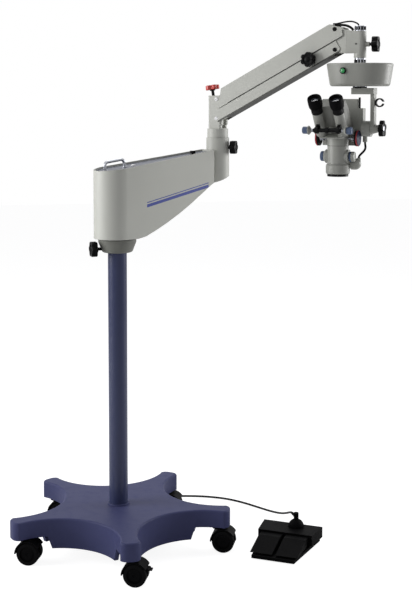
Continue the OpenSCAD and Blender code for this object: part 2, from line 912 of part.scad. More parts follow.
module lower_link() {
  far = link_len - web_far / 2;
  color(cover_grey) link_frame(low_pivot) difference() {
    union() {
      difference() {
        side_plate([[0, low_foot], [low_start, low_top], [link_len + low_nose_top, low_top],
          [link_len + low_nose, -low_nose_drop], [link_len + low_nose_foot, low_foot]], low_link_w);
        block([-up_start, -link_in / 2, low_foot + link_wall],
          [link_len + up_start, link_in / 2, 2 * low_top]);
        block([-up_start, -link_in / 2, 2 * low_foot], [up_start, link_in / 2, low_top]);
        block([link_len - low_cut, -link_in / 2, 2 * low_foot],
          [link_len + up_start, link_in / 2, low_top]);
      }
      link_web(web_near, low_foot, link_eye_r, link_in + link_wall);
      link_web(far, low_foot, link_eye_r, link_in + link_wall);
      eye_bar(lug_w);
      translate([arm_knob_along, bite - link_in / 2, arm_knob_up]) rotate([90, 0, 0])
        cylinder(r = boss_share * screw_r, h = arm_knob_out - gap - link_in / 2 + bite);
    }
    for (s = [0, link_len]) translate([s, 0, 0]) rotate([90, 0, 0])
      cylinder(r = pin_r + fit, h = 2 * link_w, center = true);
    translate([arm_knob_along, 0, arm_knob_up]) rotate([90, 0, 0])
      cylinder(r = screw_r + fit, h = 2 * link_w);
  }
}

module spring_cartridge() {
  far = link_len - web_far;
  color(steel) link_frame(low_pivot + pivot_gap) translate([0, 0, -spring_drop]) rotate([0, 90, 0]) {
    translate([0, 0, web_near + web_t + gap]) cylinder(r = spring_r, h = (far - web_near) / 2);
    translate([0, 0, web_near + 2 * web_t]) cylinder(r = spring_rod_r, h = far - web_near);
  }
}

module arm_knob() {
  color(black) link_frame(low_pivot) translate([arm_knob_along, 0, arm_knob_up]) rotate([0, 0, -90])
    lock_knob(arm_knob_r, arm_knob_out, knob_t, 6, link_in / 2 - screw_bite);
}

// Head block at the elbow, with its bore for the spindle
module head_block() {
  half = block_w / 2;
  crown = head_reach - head_tube_r;
  color(cover_grey) elbow_frame() difference() {
    union() {
      intersection() {
        translate([0, 0, block_top - bite]) linear_extrude(block_crown + bite)
          polygon([[link_eye_r, -half], [head_reach / 2, -half], [head_reach, -head_tube_r],
            [head_reach, head_tube_r], [head_reach / 2, half], [link_eye_r, half]]);
        rotate([90, 0, 0]) linear_extrude(2 * half, center = true)
          polygon([[link_eye_r, block_top - bite], [crown, block_top - bite], [crown, block_top],
            [link_eye_r, block_top + block_crown]]);
      }
      for (z = [0, pivot_gap]) translate([0, 0, z]) rotate([90, 0, 0])
        cylinder(r = link_eye_r, h = block_w, center = true);
      block([-link_eye_r, -half, 0], [link_eye_r, half, pivot_gap]);
      block([0, -half, block_foot], [head_reach / 2, half, block_top]);
      translate([0, 0, block_foot]) linear_extrude(block_top - block_foot)
        polygon([[head_reach / 2 - overrun, -half], [head_reach, -head_tube_r], [head_reach, head_tube_r],
          [head_reach / 2 - overrun, half]]);
      translate([head_reach, 0, head_tube_foot]) cylinder(r = head_tube_r, h = block_top - head_tube_foot);
      translate([head_reach, 0, head_knob_z]) rotate([0, 0, head_knob_angle - arm2_angle])
        rotate([0, 90, 0]) cylinder(r = boss_share * screw_r, h = head_boss_share * head_tube_r);
    }
    for (z = [0, pivot_gap]) translate([0, 0, z]) rotate([90, 0, 0])
      cylinder(r = pin_r + fit, h = 2 * block_w, center = true);
    translate([head_reach, 0, head_tube_foot - overrun])
      cylinder(r = spindle_r + fit, h = block_top - head_tube_foot + 2 * overrun);
    translate([head_reach, 0, head_knob_z]) rotate([0, 0, head_knob_angle - arm2_angle])
      rotate([0, 90, 0]) cylinder(r = screw_r + fit, h = 4 * head_tube_r);
  }
}

module elbow_pins() {
  color(steel) elbow_frame() {
    rotate([90, 0, 0]) cylinder(r = pin_r, h = low_link_w + 2 * gap, center = true);
    translate([0, 0, pivot_gap]) rotate([90, 0, 0])
      cylinder(r = pin_r, h = link_w + 2 * bite, center = true);
  }
}

module head_knob() {
  color(black) elbow_frame() translate([head_reach, 0, head_knob_z])
    rotate([0, 0, head_knob_angle - arm2_angle])
      lock_knob(head_knob_r, head_knob_out, knob_t, 6, spindle_r + gap);
}

// Cables over the elbow
module elbow_cables() {
  high = pivot_gap + up_top;
  nut_top = block_top + gap + nut_h;
  color(black) elbow_frame() {
    tube_along([for (q = thin_cable_shares) [q[0] * head_reach, -thin_cable_side,
      high + q[1] * (nut_top - high)]], thin_cable_r, cable_sides);
    tube_along([for (q = thick_cable_shares) [q[0] * head_reach, thick_cable_side,
      high + q[1] * (block_top - high)]], thick_cable_r, cable_sides);
  }
}

module spindle() {
  foot = hanger_top - hanger_t + gap;
  color(steel) head_frame() {
    translate([0, 0, foot]) cylinder(r = spindle_r, h = block_top + gap + nut_h / 2 - foot);
    translate([0, 0, block_top + gap]) difference() {
      cylinder(r = nut_r, h = nut_h);
      for (k = [0:grooves - 1]) rotate([0, 0, 360 * k / grooves])
        translate([nut_r + groove_r / 2, 0, -overrun]) cylinder(r = groove_r, h = nut_h + 2 * overrun);
    }
    translate([0, 0, lamp_top + gap]) cylinder(r = collar_ring_r, h = head_tube_foot - gap - lamp_top - gap);
    translate([0, 0, hanger_top + gap]) cylinder(r = knurl_r, h = knurl_h - gap);
  }
}

// Outline of the lamp housing's side, drawn in by an inset
module lamp_outline(inset) {
  r = lamp_d / 2 - inset;
  low = r - lamp_taper;
  b = lamp_round;
  top = lamp_h - inset;
  polygon([[0, inset], [low - b, inset],
    for (a = [-75:15:0]) [low - b + b * cos(a), inset + b + b * sin(a)],
    for (a = [0:15:75]) [r - b / 2 + b * cos(a) / 2, top - b / 2 + b * sin(a) / 2],
    [r - b / 2, top], [0, top]]);
}

module lamp_solid(inset) {
  half = (lamp_w - lamp_d) / 2;
  for (s = [-1, 1]) translate([s * half, 0, 0]) rotate_extrude($fn = 128) lamp_outline(inset);
  for (s = [0, 1]) mirror([0, s, 0]) translate([-half, 0, 0]) rotate([90, 0, 90])
    linear_extrude(2 * half) lamp_outline(inset);
}

module button_place() {
  translate([-(lamp_w - lamp_d) / 2, 0, lamp_top - button_drop]) rotate([0, 0, button_angle])
    translate([lamp_d / 2, 0, 0]) rotate([0, 90, 0]) children();
}

module lamp_housing() {
  color(head_grey) head_frame() difference() {
    translate([0, 0, lamp_foot]) difference() {
      lamp_solid(0);
      lamp_solid(lamp_wall);
      translate([0, 0, -overrun]) linear_extrude(lamp_wall + 2 * overrun) lamp_floor_plan(gap);
    }
    translate([0, 0, lamp_top - lamp_wall - overrun])
      cylinder(r = spindle_r + fit, h = lamp_wall + 2 * overrun);
    button_place() translate([0, 0, -button_len]) cylinder(r = button_r + gap, h = 2 * button_len);
  }
}

module lamp_floor_plan(extra) {
  r = lamp_d / 2 - lamp_taper - lamp_round + extra;
  half = (lamp_w - lamp_d) / 2;
  for (s = [-1, 1]) translate([s * half, 0]) circle(r = r);
  translate([-half, -r]) square([2 * half, 2 * r]);
}

module lamp_floor() {
  color(head_grey) head_frame() translate([0, 0, lamp_foot + bite]) linear_extrude(floor_t) difference() {
    lamp_floor_plan(0);
    circle(r = spindle_r + fit);
  }
}

module power_button() {
  color(green) head_frame() button_place() {
    translate([0, 0, button_out - button_len]) cylinder(r = button_r, h = button_len);
    translate([0, 0, button_out - button_len - bite]) cylinder(r = button_r + button_lip, h = button_lip);
  }
}

// Bracket that hangs under the lamp housing
module hanger_bracket() {
  half = hanger_d / 2;
  color(head_grey) head_frame() difference() {
    union() {
      block([-hanger_left, -half, hanger_top - hanger_t], [hanger_right, half, hanger_top]);
      block([hanger_right - drop_w, -drop_d / 2, tilt_z], [hanger_right, drop_d / 2, hanger_top]);
      translate([hub_left, 0, tilt_z]) rotate([0, 90, 0]) cylinder(r = hub_r, h = cone_left - hub_left);
      translate([cone_left - bite, 0, tilt_z]) rotate([0, 90, 0])
        cylinder(r1 = cone_r, r2 = cone_tip_r, h = cone_right - cone_left + bite);
    }
    translate([0, 0, hanger_top - hanger_t + gap]) cylinder(r = spindle_r + fit, h = hanger_t + overrun);
    translate([hub_left - overrun, 0, tilt_z]) rotate([0, 90, 0])
      cylinder(r = tilt_pin_r + fit, h = tilt_pin_len + overrun);
    translate([hub_left, 0, tilt_z]) rotate([0, 90, 0]) cylinder(r = screw_r + fit, h = 2 * cone_right);
  }
}

module cable_hook() {
  color(black) head_frame() translate([hanger_right + gap + hook_r, 0, tilt_z + hook_up])
    rotate([90, 0, 0]) difference() {
      cylinder(r = hook_r, h = hook_w, center = true);
      cylinder(r = hook_r - hook_bar / 2, h = 2 * hook_w, center = true);
      rotate([0, 0, hook_turn]) block([0, 0, -hook_w], [2 * hook_r, hook_r - hook_bar, hook_w]);
    }
}

module tilt_knob() {
  color(black) head_frame() translate([0, 0, tilt_z])
    lock_knob(tilt_knob_r, tilt_knob_left, tilt_knob_t, 5, hub_left + tilt_pin_len);
}

// Arm that tilts with the optics
module tilt_carrier() {
  left = optic_side + box_side + box_w / 2 + gap;
  right = hub_left - gap;
  color(head_grey) head_frame() translate([0, 0, tilt_z]) {
    block([left, carrier_near, -carrier_down], [right, carrier_back, carrier_up]);
    block([left, carrier_near + bite, 0], [left + carrier_plate, carrier_back, carrier_top]);
    translate([carrier_hub, 0, 0]) rotate([0, 90, 0]) cylinder(r = carrier_up, h = right - carrier_hub);
    translate([right - bite, 0, 0]) rotate([0, 90, 0]) cylinder(r = tilt_pin_r, h = tilt_pin_len);
    translate([socket_side, carrier_front, -carrier_down - socket_h]) difference() {
      cylinder(r = socket_cable_r + bite, h = socket_h + bite);
      translate([0, 0, -overrun]) cylinder(r = cable_r + fit, h = socket_h);
    }
  }
}

module focus_box() {
  low = [box_side - box_w / 2, box_front, -box_down];
  high = [box_side + box_w / 2, box_front + box_d, box_up];
  wall = [box_wall, box_wall, box_wall];
  color(head_grey) optic_frame() difference() {
    block(low, high);
    block(low + wall, high - wall);
    block([-drive_slot / 2 - gap, box_front - overrun, -box_down + 2 * box_wall],
      [drive_slot / 2 + gap, box_front + box_wall + overrun, box_up - 2 * box_wall]);
  }
}

module focus_drive() {
  mid = (box_up - box_down) / 2;
  color(steel) optic_frame() translate([0, 0, mid]) {
    difference() {
      block([-drive_slot / 2, box_front - drive_t, -drive_h / 2],
        [drive_slot / 2, box_front + box_wall + bite, drive_h / 2]);
      cylinder(r = barrel_r + gap, h = 2 * drive_h, center = true);
    }
    block([-drive_w, box_front + box_wall + gap, -drive_h / 2],
      [drive_w, box_front + box_wall + drive_t, drive_h / 2]);
  }
}

// Barrel with its shafts' bores and the block that the slide holds
module scope_body() {
  back = box_front - drive_t - gap;
  color(head_grey) optic_frame() difference() {
    union() {
      translate([0, 0, body_flare]) cylinder(r = barrel_r, h = body_top - body_flare);
      translate([0, 0, body_foot]) cylinder(r1 = flare_tip_r, r2 = flare_r, h = flare_h);
      translate([0, 0, body_foot + flare_h])
        cylinder(r = flare_r, h = body_flare - body_foot - 2 * flare_h);
      translate([0, 0, body_flare - flare_h]) cylinder(r1 = flare_r, r2 = barrel_r, h = flare_h);
      block([-drive_slot, 0, body_seam], [drive_slot, back, body_top]);
      translate([0, 0, filter_z]) rotate([0, 90, 0])
        cylinder(r = filter_boss_r, h = 2 * flare_r - 2 * gap, center = true);
      translate([0, guide_back, elbow_z]) rotate([0, 90, 0])
        cylinder(r = guide_r - guide_step, h = barrel_r + guide_seat);
    }
    translate([0, 0, body_foot - overrun]) cylinder(r = lens_r + fit, h = lens_t + bite + overrun);
    translate([0, 0, body_foot]) cylinder(r = lens_r - lens_edge, h = body_top - body_foot + overrun);
    for (z = [mag_z, filter_z]) translate([0, 0, z]) rotate([0, 90, 0])
      cylinder(r = shaft_r + fit, h = 4 * barrel_r, center = true);
    translate([0, guide_back, elbow_z]) rotate([0, 90, 0]) cylinder(r = guide_neck_r, h = 2 * barrel_r);
  }
}

module objective_ring() {
  color(black) optic_frame() difference() {
    translate([0, 0, ring_foot]) cylinder(r = barrel_r, h = body_foot - gap - ring_foot);
    translate([0, 0, ring_foot - overrun]) cylinder(r = lens_r - lens_edge, h = 2 * lens_t);
  }
}

module objective_lens() {
  color(lens_blue) optic_frame() translate([0, 0, body_foot]) rotate_extrude() polygon([[0, 0], [lens_r, 0],
    [lens_r, lens_t - lens_edge], [lens_r - lens_edge - bite, lens_t - lens_edge / 2], [0, lens_t]]);
}

module knob_disc(r, t, cap_r) {
  rotate([0, 90, 0]) rotate_extrude() polygon([[0, 0], [r - knob_edge, 0], [r, knob_edge], [r, t - knob_edge],
    [r - knob_edge, t], [cap_r, t], [cap_r, t + mag_rim], [0, t + mag_rim]]);
}

module mag_knobs() {
  color(navy) optic_frame() translate([0, 0, mag_z]) {
    rotate([0, 90, 0]) cylinder(r = shaft_r, h = 2 * mag_side, center = true);
    for (s = [0, 1]) mirror([s, 0, 0]) translate([mag_side - mag_t / 2, 0, 0])
      knob_disc(mag_r, mag_t, mag_r - 2 * mag_rim);
  }
}

module filter_knobs() {
  color(navy) optic_frame() translate([0, 0, filter_z]) {
    rotate([0, 90, 0]) cylinder(r = shaft_r, h = 2 * filter_side, center = true);
    for (s = [0, 1]) mirror([s, 0, 0]) translate([filter_side - filter_t / 2, 0, 0])
      knob_disc(filter_r, filter_t, filter_r - mag_rim);
  }
}

// Binocular head with its slanted face, and the two eyepieces on it
module eye_frame() {
  translate([0, -eye_foot_front, eye_foot_z]) rotate([90 - eye_angle, 0, 0]) children();
}

module binocular_head() {
  foot = eye_foot_z - face_drop;
  front = barrel_r + gap + head_wall;
  along = [cos(eye_angle), sin(eye_angle)];
  across = [sin(eye_angle), -cos(eye_angle)];
  heel = [eye_foot_front, eye_foot_z] - (tube_r + tube_clear) * across;
  toe = [eye_foot_front, eye_foot_z] + (tube_r + face_rim) * across;
  crest = heel + (prism_top - heel[1]) / along[1] * along;
  color(head_grey) optic_frame() difference() {
    union() {
      rotate([90, 0, -90]) translate([0, 0, -prism_w / 2]) linear_extrude(prism_w) polygon([
        [-prism_back, body_top + gap], [-prism_back, prism_step], [prism_lean, prism_mid],
        [prism_peak_in, prism_peak], crest, heel, toe, [toe[0], foot],
        [front, foot], [front, body_top + gap]]);
      block([-pd_boss_w / 4, -pd_front, pd_z - pd_r - pd_wall],
        [pd_boss_w / 4, -front - bite, pd_z + pd_r + pd_wall]);
      translate([0, -pd_front, pd_z]) rotate([0, 90, 0])
        cylinder(r = pd_r + pd_wall, h = pd_boss_w / 2, center = true);
    }
    translate([0, -pd_front, pd_z]) rotate([0, 90, 0]) cylinder(r = pd_r + fit, h = pd_boss_w, center = true);
  }
}

module eyepiece(s) {
  reach = (pd_front - eye_foot_front) * sin(eye_angle) - (pd_z - eye_foot_z) * cos(eye_angle);
  color(head_grey) optic_frame() difference() {
    union() {
      translate([s * eye_gap / 2, 0, 0]) eye_frame() translate([0, 0, face_gap]) {
        cylinder(r = tube_r, h = tube_len - cup_len + cup_seat);
        translate([0, 0, tube_len - cup_len]) rotate_extrude()
          polygon([for (q = cup_shares) [q[0] * cup_r, q[1] * cup_len]]);
      }
      translate([s * eye_gap / 2, -pd_front, pd_z]) rotate([0, 90, 0])
        cylinder(r = pd_r + head_wall, h = pd_boss_w, center = true);
      translate([s * eye_gap / 2, -pd_front, pd_z]) rotate([90 - eye_angle, 0, 0])
        block([-pd_boss_w / 2 + bite, 0, -pd_r - pd_wall],
          [pd_boss_w / 2 - bite, reach - tube_r / 2, pd_r + pd_wall]);
    }
    translate([s * eye_gap / 2, -pd_front, pd_z]) rotate([0, 90, 0])
      cylinder(r = pd_r + fit, h = 2 * pd_boss_w, center = true);
  }
}

module pd_shaft() {
  color(black) optic_frame() translate([0, -pd_front, pd_z]) rotate([0, 90, 0]) {
    cylinder(r = pd_r, h = 2 * pd_half, center = true);
    cylinder(r = pd_thin_r, h = 2 * pd_cap_side + 2 * bite, center = true);
    for (s = [0, 1]) mirror([0, 0, s]) translate([0, 0, pd_cap_side]) cylinder(r = pd_cap_r, h = pd_cap_len);
  }
}

module light_guide() {
  color(head_grey) optic_frame() translate([guide_left, guide_back, elbow_z]) {
    rotate([0, 90, 0]) cylinder(r = guide_r, h = guide_len);
    intersection() {
      translate([guide_len, 0, 0]) sphere(r = guide_r);
      block([0, -guide_r, -guide_r], [guide_len + guide_r, guide_r, guide_r]);
    }
    translate([guide_len + guide_in, 0, 0]) difference() {
      cylinder(r = guide_neck_r, h = guide_neck_h);
      cylinder(r = cable_r + fit, h = 2 * guide_r);
    }
  }
}

// A tube along a list of points, with a ring of sides at each point
function way(p, k) = let (a = p[max(k - 1, 0)], b = p[min(k + 1, len(p) - 1)]) (b - a) / norm(b - a);
function side_of(d) = let (u = abs(d[2]) > 0.9 ? [1, 0, 0] : [0, 0, 1], c = cross(u, d)) c / norm(c);
module tube_along(p, r, sides) {
  last = len(p) - 1;
  points = [for (k = [0:last]) let (d = way(p, k), u = side_of(d), v = cross(d, u))
    for (j = [0:sides - 1]) let (a = 360 * j / sides) p[k] + r * cos(a) * u + r * sin(a) * v];
  faces = [[for (j = [sides - 1:-1:0]) j], [for (j = [0:sides - 1]) last * sides + j],
    for (k = [0:last - 1], j = [0:sides - 1]) let (n = (j + 1) % sides)
      [k * sides + j, k * sides + n, (k + 1) * sides + n, (k + 1) * sides + j]];
  polyhedron(points, faces);
}

module light_cable() {
  top = [socket_side - optic_side, carrier_front + optic_front, -carrier_down - socket_h];
  foot = [guide_left + guide_len + guide_in, guide_back, elbow_z + guide_neck_h];
  color(black) optic_frame() tube_along([foot - [0, 0, cable_in],
    for (t = [0:0.1:1]) let (ease = 3 * t * t - 2 * t * t * t, bow = sin(180 * t) * sin(180 * t))
      [foot[0] + (top[0] - foot[0]) * ease + cable_bow * bow,
        foot[1] + (top[1] - foot[1]) * ease,
        foot[2] + (top[2] - foot[2]) * t],
    top + [0, 0, cable_in]], cable_r, cable_sides);
}

// Footswitch
module switch_plan(y0, y1, inset) {
  front = switch_front_w / 2 - inset;
  flare = (switch_back_w - switch_front_w) / 2 / switch_d;
  polygon([[-front - flare * y0, y0], [front + flare * y0, y0],
    [front + flare * y1, y1], [-front - flare * y1, y1]]);
}

module footswitch_base() {
  high = switch_plate + switch_lift;
  color(black) switch_frame() {
    translate([0, 0, switch_lift]) linear_extrude(switch_plate - switch_lift)
      switch_plan(0, switch_d, switch_round);
    translate([0, 0, switch_plate - bite]) linear_extrude(switch_lift + 2 * bite)
      switch_plan(switch_split, switch_d, switch_round);
    translate([0, 0, high]) linear_extrude(switch_h - high) switch_plan(switch_split, switch_d, 0);
    for (s = [-1, 1], y = [foot_inset, switch_d - foot_inset])
      translate([s * (switch_front_w / 2 - foot_inset), y, 0]) cylinder(r = foot_r, h = switch_lift + bite);
    for (s = [-1, 1], x = [pedal_gap, switch_front_w / 2 - pedal_gap]) translate([s * x, 0, 0]) pedal_lug();
    translate([gland_side, gland_y, switch_h - bite]) {
      rotate_extrude() polygon([[0, 0], [gland_r, 0], [gland_r, bite],
        for (a = [15:15:90]) [gland_r * cos(a), bite + gland_r * sin(a)]]);
      cylinder(r = gland_stub_r, h = gland_stub_h);
      translate([0, 0, relief_z]) rotate([0, 0, relief_angle]) rotate([0, 90, 0])
        cylinder(r1 = relief_r, r2 = relief_tip_r, h = relief_len);
    }
  }
}

module pedal_lug() {
  difference() {
    translate([-pedal_lug_t / 2, switch_split - pedal_lug_d, switch_plate - bite])
      cube([pedal_lug_t, pedal_lug_d + bite, pedal_lug_top - switch_plate + bite]);
    translate([0, switch_split - pedal_pin_in, pedal_pin_z]) rotate([0, 90, 0])
      cylinder(r = pedal_pin_r + fit, h = 2 * pedal_lug_t, center = true);
  }
}

module pedal(s) {
  half = switch_front_w / 2;
  low = switch_plate + pedal_seat;
  back = switch_split - bite;
  slot = pedal_lug_t / 2 + gap;
  color(black) switch_frame() {
    difference() {
      translate([s < 0 ? -half : pedal_side, 0, 0]) rotate([90, 0, 90]) linear_extrude(half - pedal_side)
        polygon([[pedal_front, low], [pedal_front, pedal_front_top],
          [switch_split - pedal_flat, pedal_back_top], [back, pedal_back_top],
          [back, pedal_pin_z + 2 * pedal_pin_r], [switch_split - pedal_lug_d, low]]);
      for (q = [pedal_gap, half - pedal_gap])
        block([s * q - slot, switch_split - pedal_lug_d - overrun, switch_plate],
          [s * q + slot, switch_split, pedal_lug_top + 3 * gap]);
    }
    translate([s * switch_front_w / 4, switch_split - pedal_pin_in, pedal_pin_z]) rotate([0, 90, 0])
      cylinder(r = pedal_pin_r, h = half - pedal_gap, center = true);
  }
}

module pedal_left() {
  pedal(-1);
}

module pedal_right() {
  pedal(1);
}

module eyepiece_left() {
  eyepiece(-1);
}

module eyepiece_right() {
  eyepiece(1);
}

module foot_cable() {
  color(black) column_frame() tube_along(foot_cable_points, foot_cable_r, foot_cable_sides);
}

for (i = [0:legs - 1]) {
  caster_hood(i, i == 0);
  caster_wheels(i);
}
base_casting();
column_tube();
brake_lever();
collar_cup();
column_bushes();
collar_knob();
arm1_casting();
arm1_cover();
arm1_top_panel();
carry_handle();
brightness_dial();
power_unit();
turret_knob();
turret_yoke();
balance_knob();
yoke_pins();
upper_link();
lower_link();
spring_cartridge();
arm_knob();
head_block();
elbow_pins();
elbow_cables();
head_knob();
spindle();
lamp_housing();
lamp_floor();
power_button();
hanger_bracket();
cable_hook();
tilt_knob();
tilt_carrier();
focus_box();
focus_drive();
scope_body();
objective_ring();
objective_lens();
mag_knobs();
filter_knobs();
binocular_head();
eyepiece_left();
eyepiece_right();
pd_shaft();
light_guide();
light_cable();
footswitch_base();
pedal_left();
pedal_right();
foot_cable();
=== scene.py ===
"""Surgical microscope on a floor stand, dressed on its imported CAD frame.

Sizes in the functions are millimetres in the part's own frames; meshes are stored in metres in the row frame.
"""

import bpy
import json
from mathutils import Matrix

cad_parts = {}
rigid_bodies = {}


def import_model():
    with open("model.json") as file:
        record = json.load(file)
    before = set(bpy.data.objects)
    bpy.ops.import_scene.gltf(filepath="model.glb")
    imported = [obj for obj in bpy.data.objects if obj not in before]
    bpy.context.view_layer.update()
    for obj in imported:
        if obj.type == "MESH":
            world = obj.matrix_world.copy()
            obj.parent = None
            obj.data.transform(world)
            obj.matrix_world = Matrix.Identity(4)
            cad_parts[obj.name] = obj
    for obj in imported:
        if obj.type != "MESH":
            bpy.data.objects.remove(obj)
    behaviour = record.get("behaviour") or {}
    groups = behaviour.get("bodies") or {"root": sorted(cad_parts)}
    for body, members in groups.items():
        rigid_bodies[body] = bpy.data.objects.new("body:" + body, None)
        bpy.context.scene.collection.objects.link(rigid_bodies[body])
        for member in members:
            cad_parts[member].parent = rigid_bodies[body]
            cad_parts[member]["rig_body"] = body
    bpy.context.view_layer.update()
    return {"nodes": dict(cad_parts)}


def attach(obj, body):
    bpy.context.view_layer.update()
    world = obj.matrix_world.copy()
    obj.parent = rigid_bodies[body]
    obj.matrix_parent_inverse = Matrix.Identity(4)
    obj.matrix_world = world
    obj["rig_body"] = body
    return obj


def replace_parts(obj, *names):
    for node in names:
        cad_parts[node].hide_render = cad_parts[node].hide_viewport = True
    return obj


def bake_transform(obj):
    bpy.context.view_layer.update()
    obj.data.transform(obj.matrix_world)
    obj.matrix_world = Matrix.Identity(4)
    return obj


bl_info = {
    "name": "Surgical microscope",
    "version": (1, 0, 0),
    "blender": (4, 5, 0),
    "location": "3D View > Sidebar > Microscope",
    "description": "Builds the pieces and finishes of a surgical microscope on its floor stand",
    "category": "Add Mesh",
}

import json
import math

import bmesh
import bpy
import numpy as np
from bpy.props import FloatProperty, FloatVectorProperty, PointerProperty
from mathutils import Matrix, Vector
from mathutils.geometry import delaunay_2d_cdt

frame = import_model()


# Frames of the part, as matrices in millimetres

def move(x, y, z):
    """Matrix that shifts by x, y, z."""
    m = np.eye(4)
    m[:3, 3] = (x, y, z)
    return m


def turn(axis, degrees):
    """Matrix that turns about a row axis by the right-hand rule."""
    a = math.radians(degrees)
    i, j = {"x": (1, 2), "y": (2, 0), "z": (0, 1)}[axis]
    m = np.eye(4)
    m[i, i] = m[j, j] = math.cos(a)
    m[i, j], m[j, i] = -math.sin(a), math.sin(a)
    return m


COLUMN = move(-251.7, 33.3, 0)
ARM = COLUMN @ turn("z", 25)
ARM_LEN = 394
TURRET = ARM @ move(ARM_LEN, 0, 1317) @ turn("z", -65)
LINK_LEN = 484
RISE = 27.2
LOW_PIVOT = 65
PIVOT_GAP = 64.4
ALONG = math.cos(math.radians(RISE)) * LINK_LEN
UPWARD = math.sin(math.radians(RISE)) * LINK_LEN
LOW_LINK = TURRET @ move(8.5, 0, LOW_PIVOT) @ turn("y", -RISE)
UP_LINK = TURRET @ move(8.5, 0, LOW_PIVOT + PIVOT_GAP) @ turn("y", -RISE)
ELBOW = TURRET @ move(8.5 + ALONG, 0, LOW_PIVOT + UPWARD)
HEAD = ELBOW @ move(75, 0, 0) @ turn("z", 6)
TILT_AXIS = HEAD @ move(0, 0, -248)
OPTIC = TILT_AXIS @ move(-64, -20, 0)
SPACING_AXIS = OPTIC @ move(0, -107, -3)
MAG_AXIS = OPTIC @ move(0, 0, -30) @ turn("y", 90)
FILTER_AXIS = OPTIC @ move(0, 0, -88) @ turn("y", 90)
EYE = OPTIC @ move(0, -55, -15) @ turn("x", 35)
EYE_HALF = 34.5
ARM_KNOB = LOW_LINK @ move(395, 0, 12) @ turn("z", -90)
SWITCH = COLUMN @ move(459, -233, 0) @ turn("z", -31)
UPRIGHT = np.eye(4)
UPSIDE_DOWN = turn("x", 180)


def caster_frame(i):
    """Frame of a caster's stem, turned the way that it trails."""
    a = -90 + 72 * i
    return COLUMN @ turn("z", a) @ move(325, 0, 0) @ turn("z", -20 - a)


def srgb(*values):
    """A colour written in 0 to 255 as the linear values that shaders use."""
    v = np.array(values, float) / 255
    return tuple(np.where(v <= 0.04045, v / 12.92, ((v + 0.055) / 1.055) ** 2.4))


def colour(name, text, *values):
    """A colour property with its default in 0 to 255."""
    return FloatVectorProperty(name=name, description=text, subtype="COLOR", size=3, min=0, max=1,
                               default=srgb(*values))


def length(name, text, value):
    """A length property with its default in metres."""
    return FloatProperty(name=name, description=text, default=value, unit="LENGTH")


class ScopeColours(bpy.types.PropertyGroup):
    base: colour("Base paint", "Slate paint of the five-legged base", 60, 63, 97)
    column: colour("Column paint", "Blue paint of the column", 48, 54, 86)
    cover: colour("Cover paint", "Warm grey paint of the arm covers", 186, 187, 180)
    head: colour("Head paint", "Grey paint of the microscope's head", 148, 149, 143)
    panel: colour("Panel paint", "Blue grey paint of the arm's top panel", 66, 71, 86)
    stripe: colour("Stripe", "Blue of the generic stripe on the arm cover", 62, 74, 150)
    black: colour("Black plastic", "Moulded black of knobs and casters", 9, 9, 10)
    red: colour("Balance knob", "Red of the balance knob", 196, 34, 16)
    green: colour("Power button", "Green of the power button", 40, 150, 80)
    navy: colour("Navy anodising", "Dark blue of the magnification knobs", 44, 50, 76)
    slate: colour("Slate anodising", "Grey blue of the small knobs", 84, 98, 124)


class ScopeSizes(bpy.types.PropertyGroup):
    knob_radius: length("Lock knob radius", "Radius of the largest lock knob", 0.0255)
    cable_radius: length("Cable radius", "Radius of the footswitch cable", 0.0035)


# Node groups shared by the materials

def group_socket(tree, name, kind, way, value=None):
    """Adds one named socket to a node group."""
    s = tree.interface.new_socket(name=name, in_out=way, socket_type=kind)
    if value is not None:
        s.default_value = value
    return s


def grain_group():
    """Fine grain of a sprayed or moulded skin: a height and a slow tint, from two noises."""
    g = bpy.data.node_groups.new("Skin grain", "ShaderNodeTree")
    group_socket(g, "Scale", "NodeSocketFloat", "INPUT", 900.0)
    group_socket(g, "Height", "NodeSocketFloat", "OUTPUT")
    group_socket(g, "Tint", "NodeSocketFloat", "OUTPUT")
    n, l = g.nodes, g.links
    gi, go = n.new("NodeGroupInput"), n.new("NodeGroupOutput")
    tc = n.new("ShaderNodeTexCoord")
    fine, slow = n.new("ShaderNodeTexNoise"), n.new("ShaderNodeTexNoise")
    fine.inputs["Detail"].default_value = 3
    slow.inputs["Scale"].default_value = 14
    slow.inputs["Detail"].default_value = 4
    l.new(tc.outputs["Object"], fine.inputs["Vector"])
    l.new(tc.outputs["Object"], slow.inputs["Vector"])
    l.new(gi.outputs["Scale"], fine.inputs["Scale"])
    l.new(fine.outputs["Fac"], go.inputs["Height"])
    l.new(slow.outputs["Fac"], go.inputs["Tint"])
    return g


def scuff_group():
    """Rubbed and dusty patches: a mask from a noise that passes a threshold."""
    g = bpy.data.node_groups.new("Handling marks", "ShaderNodeTree")
    group_socket(g, "Scale", "NodeSocketFloat", "INPUT", 30.0)
    group_socket(g, "Mask", "NodeSocketFloat", "OUTPUT")
    n, l = g.nodes, g.links
    gi, go = n.new("NodeGroupInput"), n.new("NodeGroupOutput")
    tc, noise, ramp = n.new("ShaderNodeTexCoord"), n.new("ShaderNodeTexNoise"), n.new("ShaderNodeValToRGB")
    noise.inputs["Detail"].default_value = 6
    noise.inputs["Roughness"].default_value = 0.7
    ramp.color_ramp.elements[0].position = 0.48
    ramp.color_ramp.elements[1].position = 0.72
    l.new(tc.outputs["Object"], noise.inputs["Vector"])
    l.new(gi.outputs["Scale"], noise.inputs["Scale"])
    l.new(noise.outputs["Fac"], ramp.inputs["Fac"])
    l.new(ramp.outputs["Color"], go.inputs["Mask"])
    return g


GROUPS = {}
FINISHES = {}
WEAR = 0.08


def group(name, make):
    """The shared node group of that name, made once."""
    if name not in GROUPS:
        GROUPS[name] = make()
    return GROUPS[name]


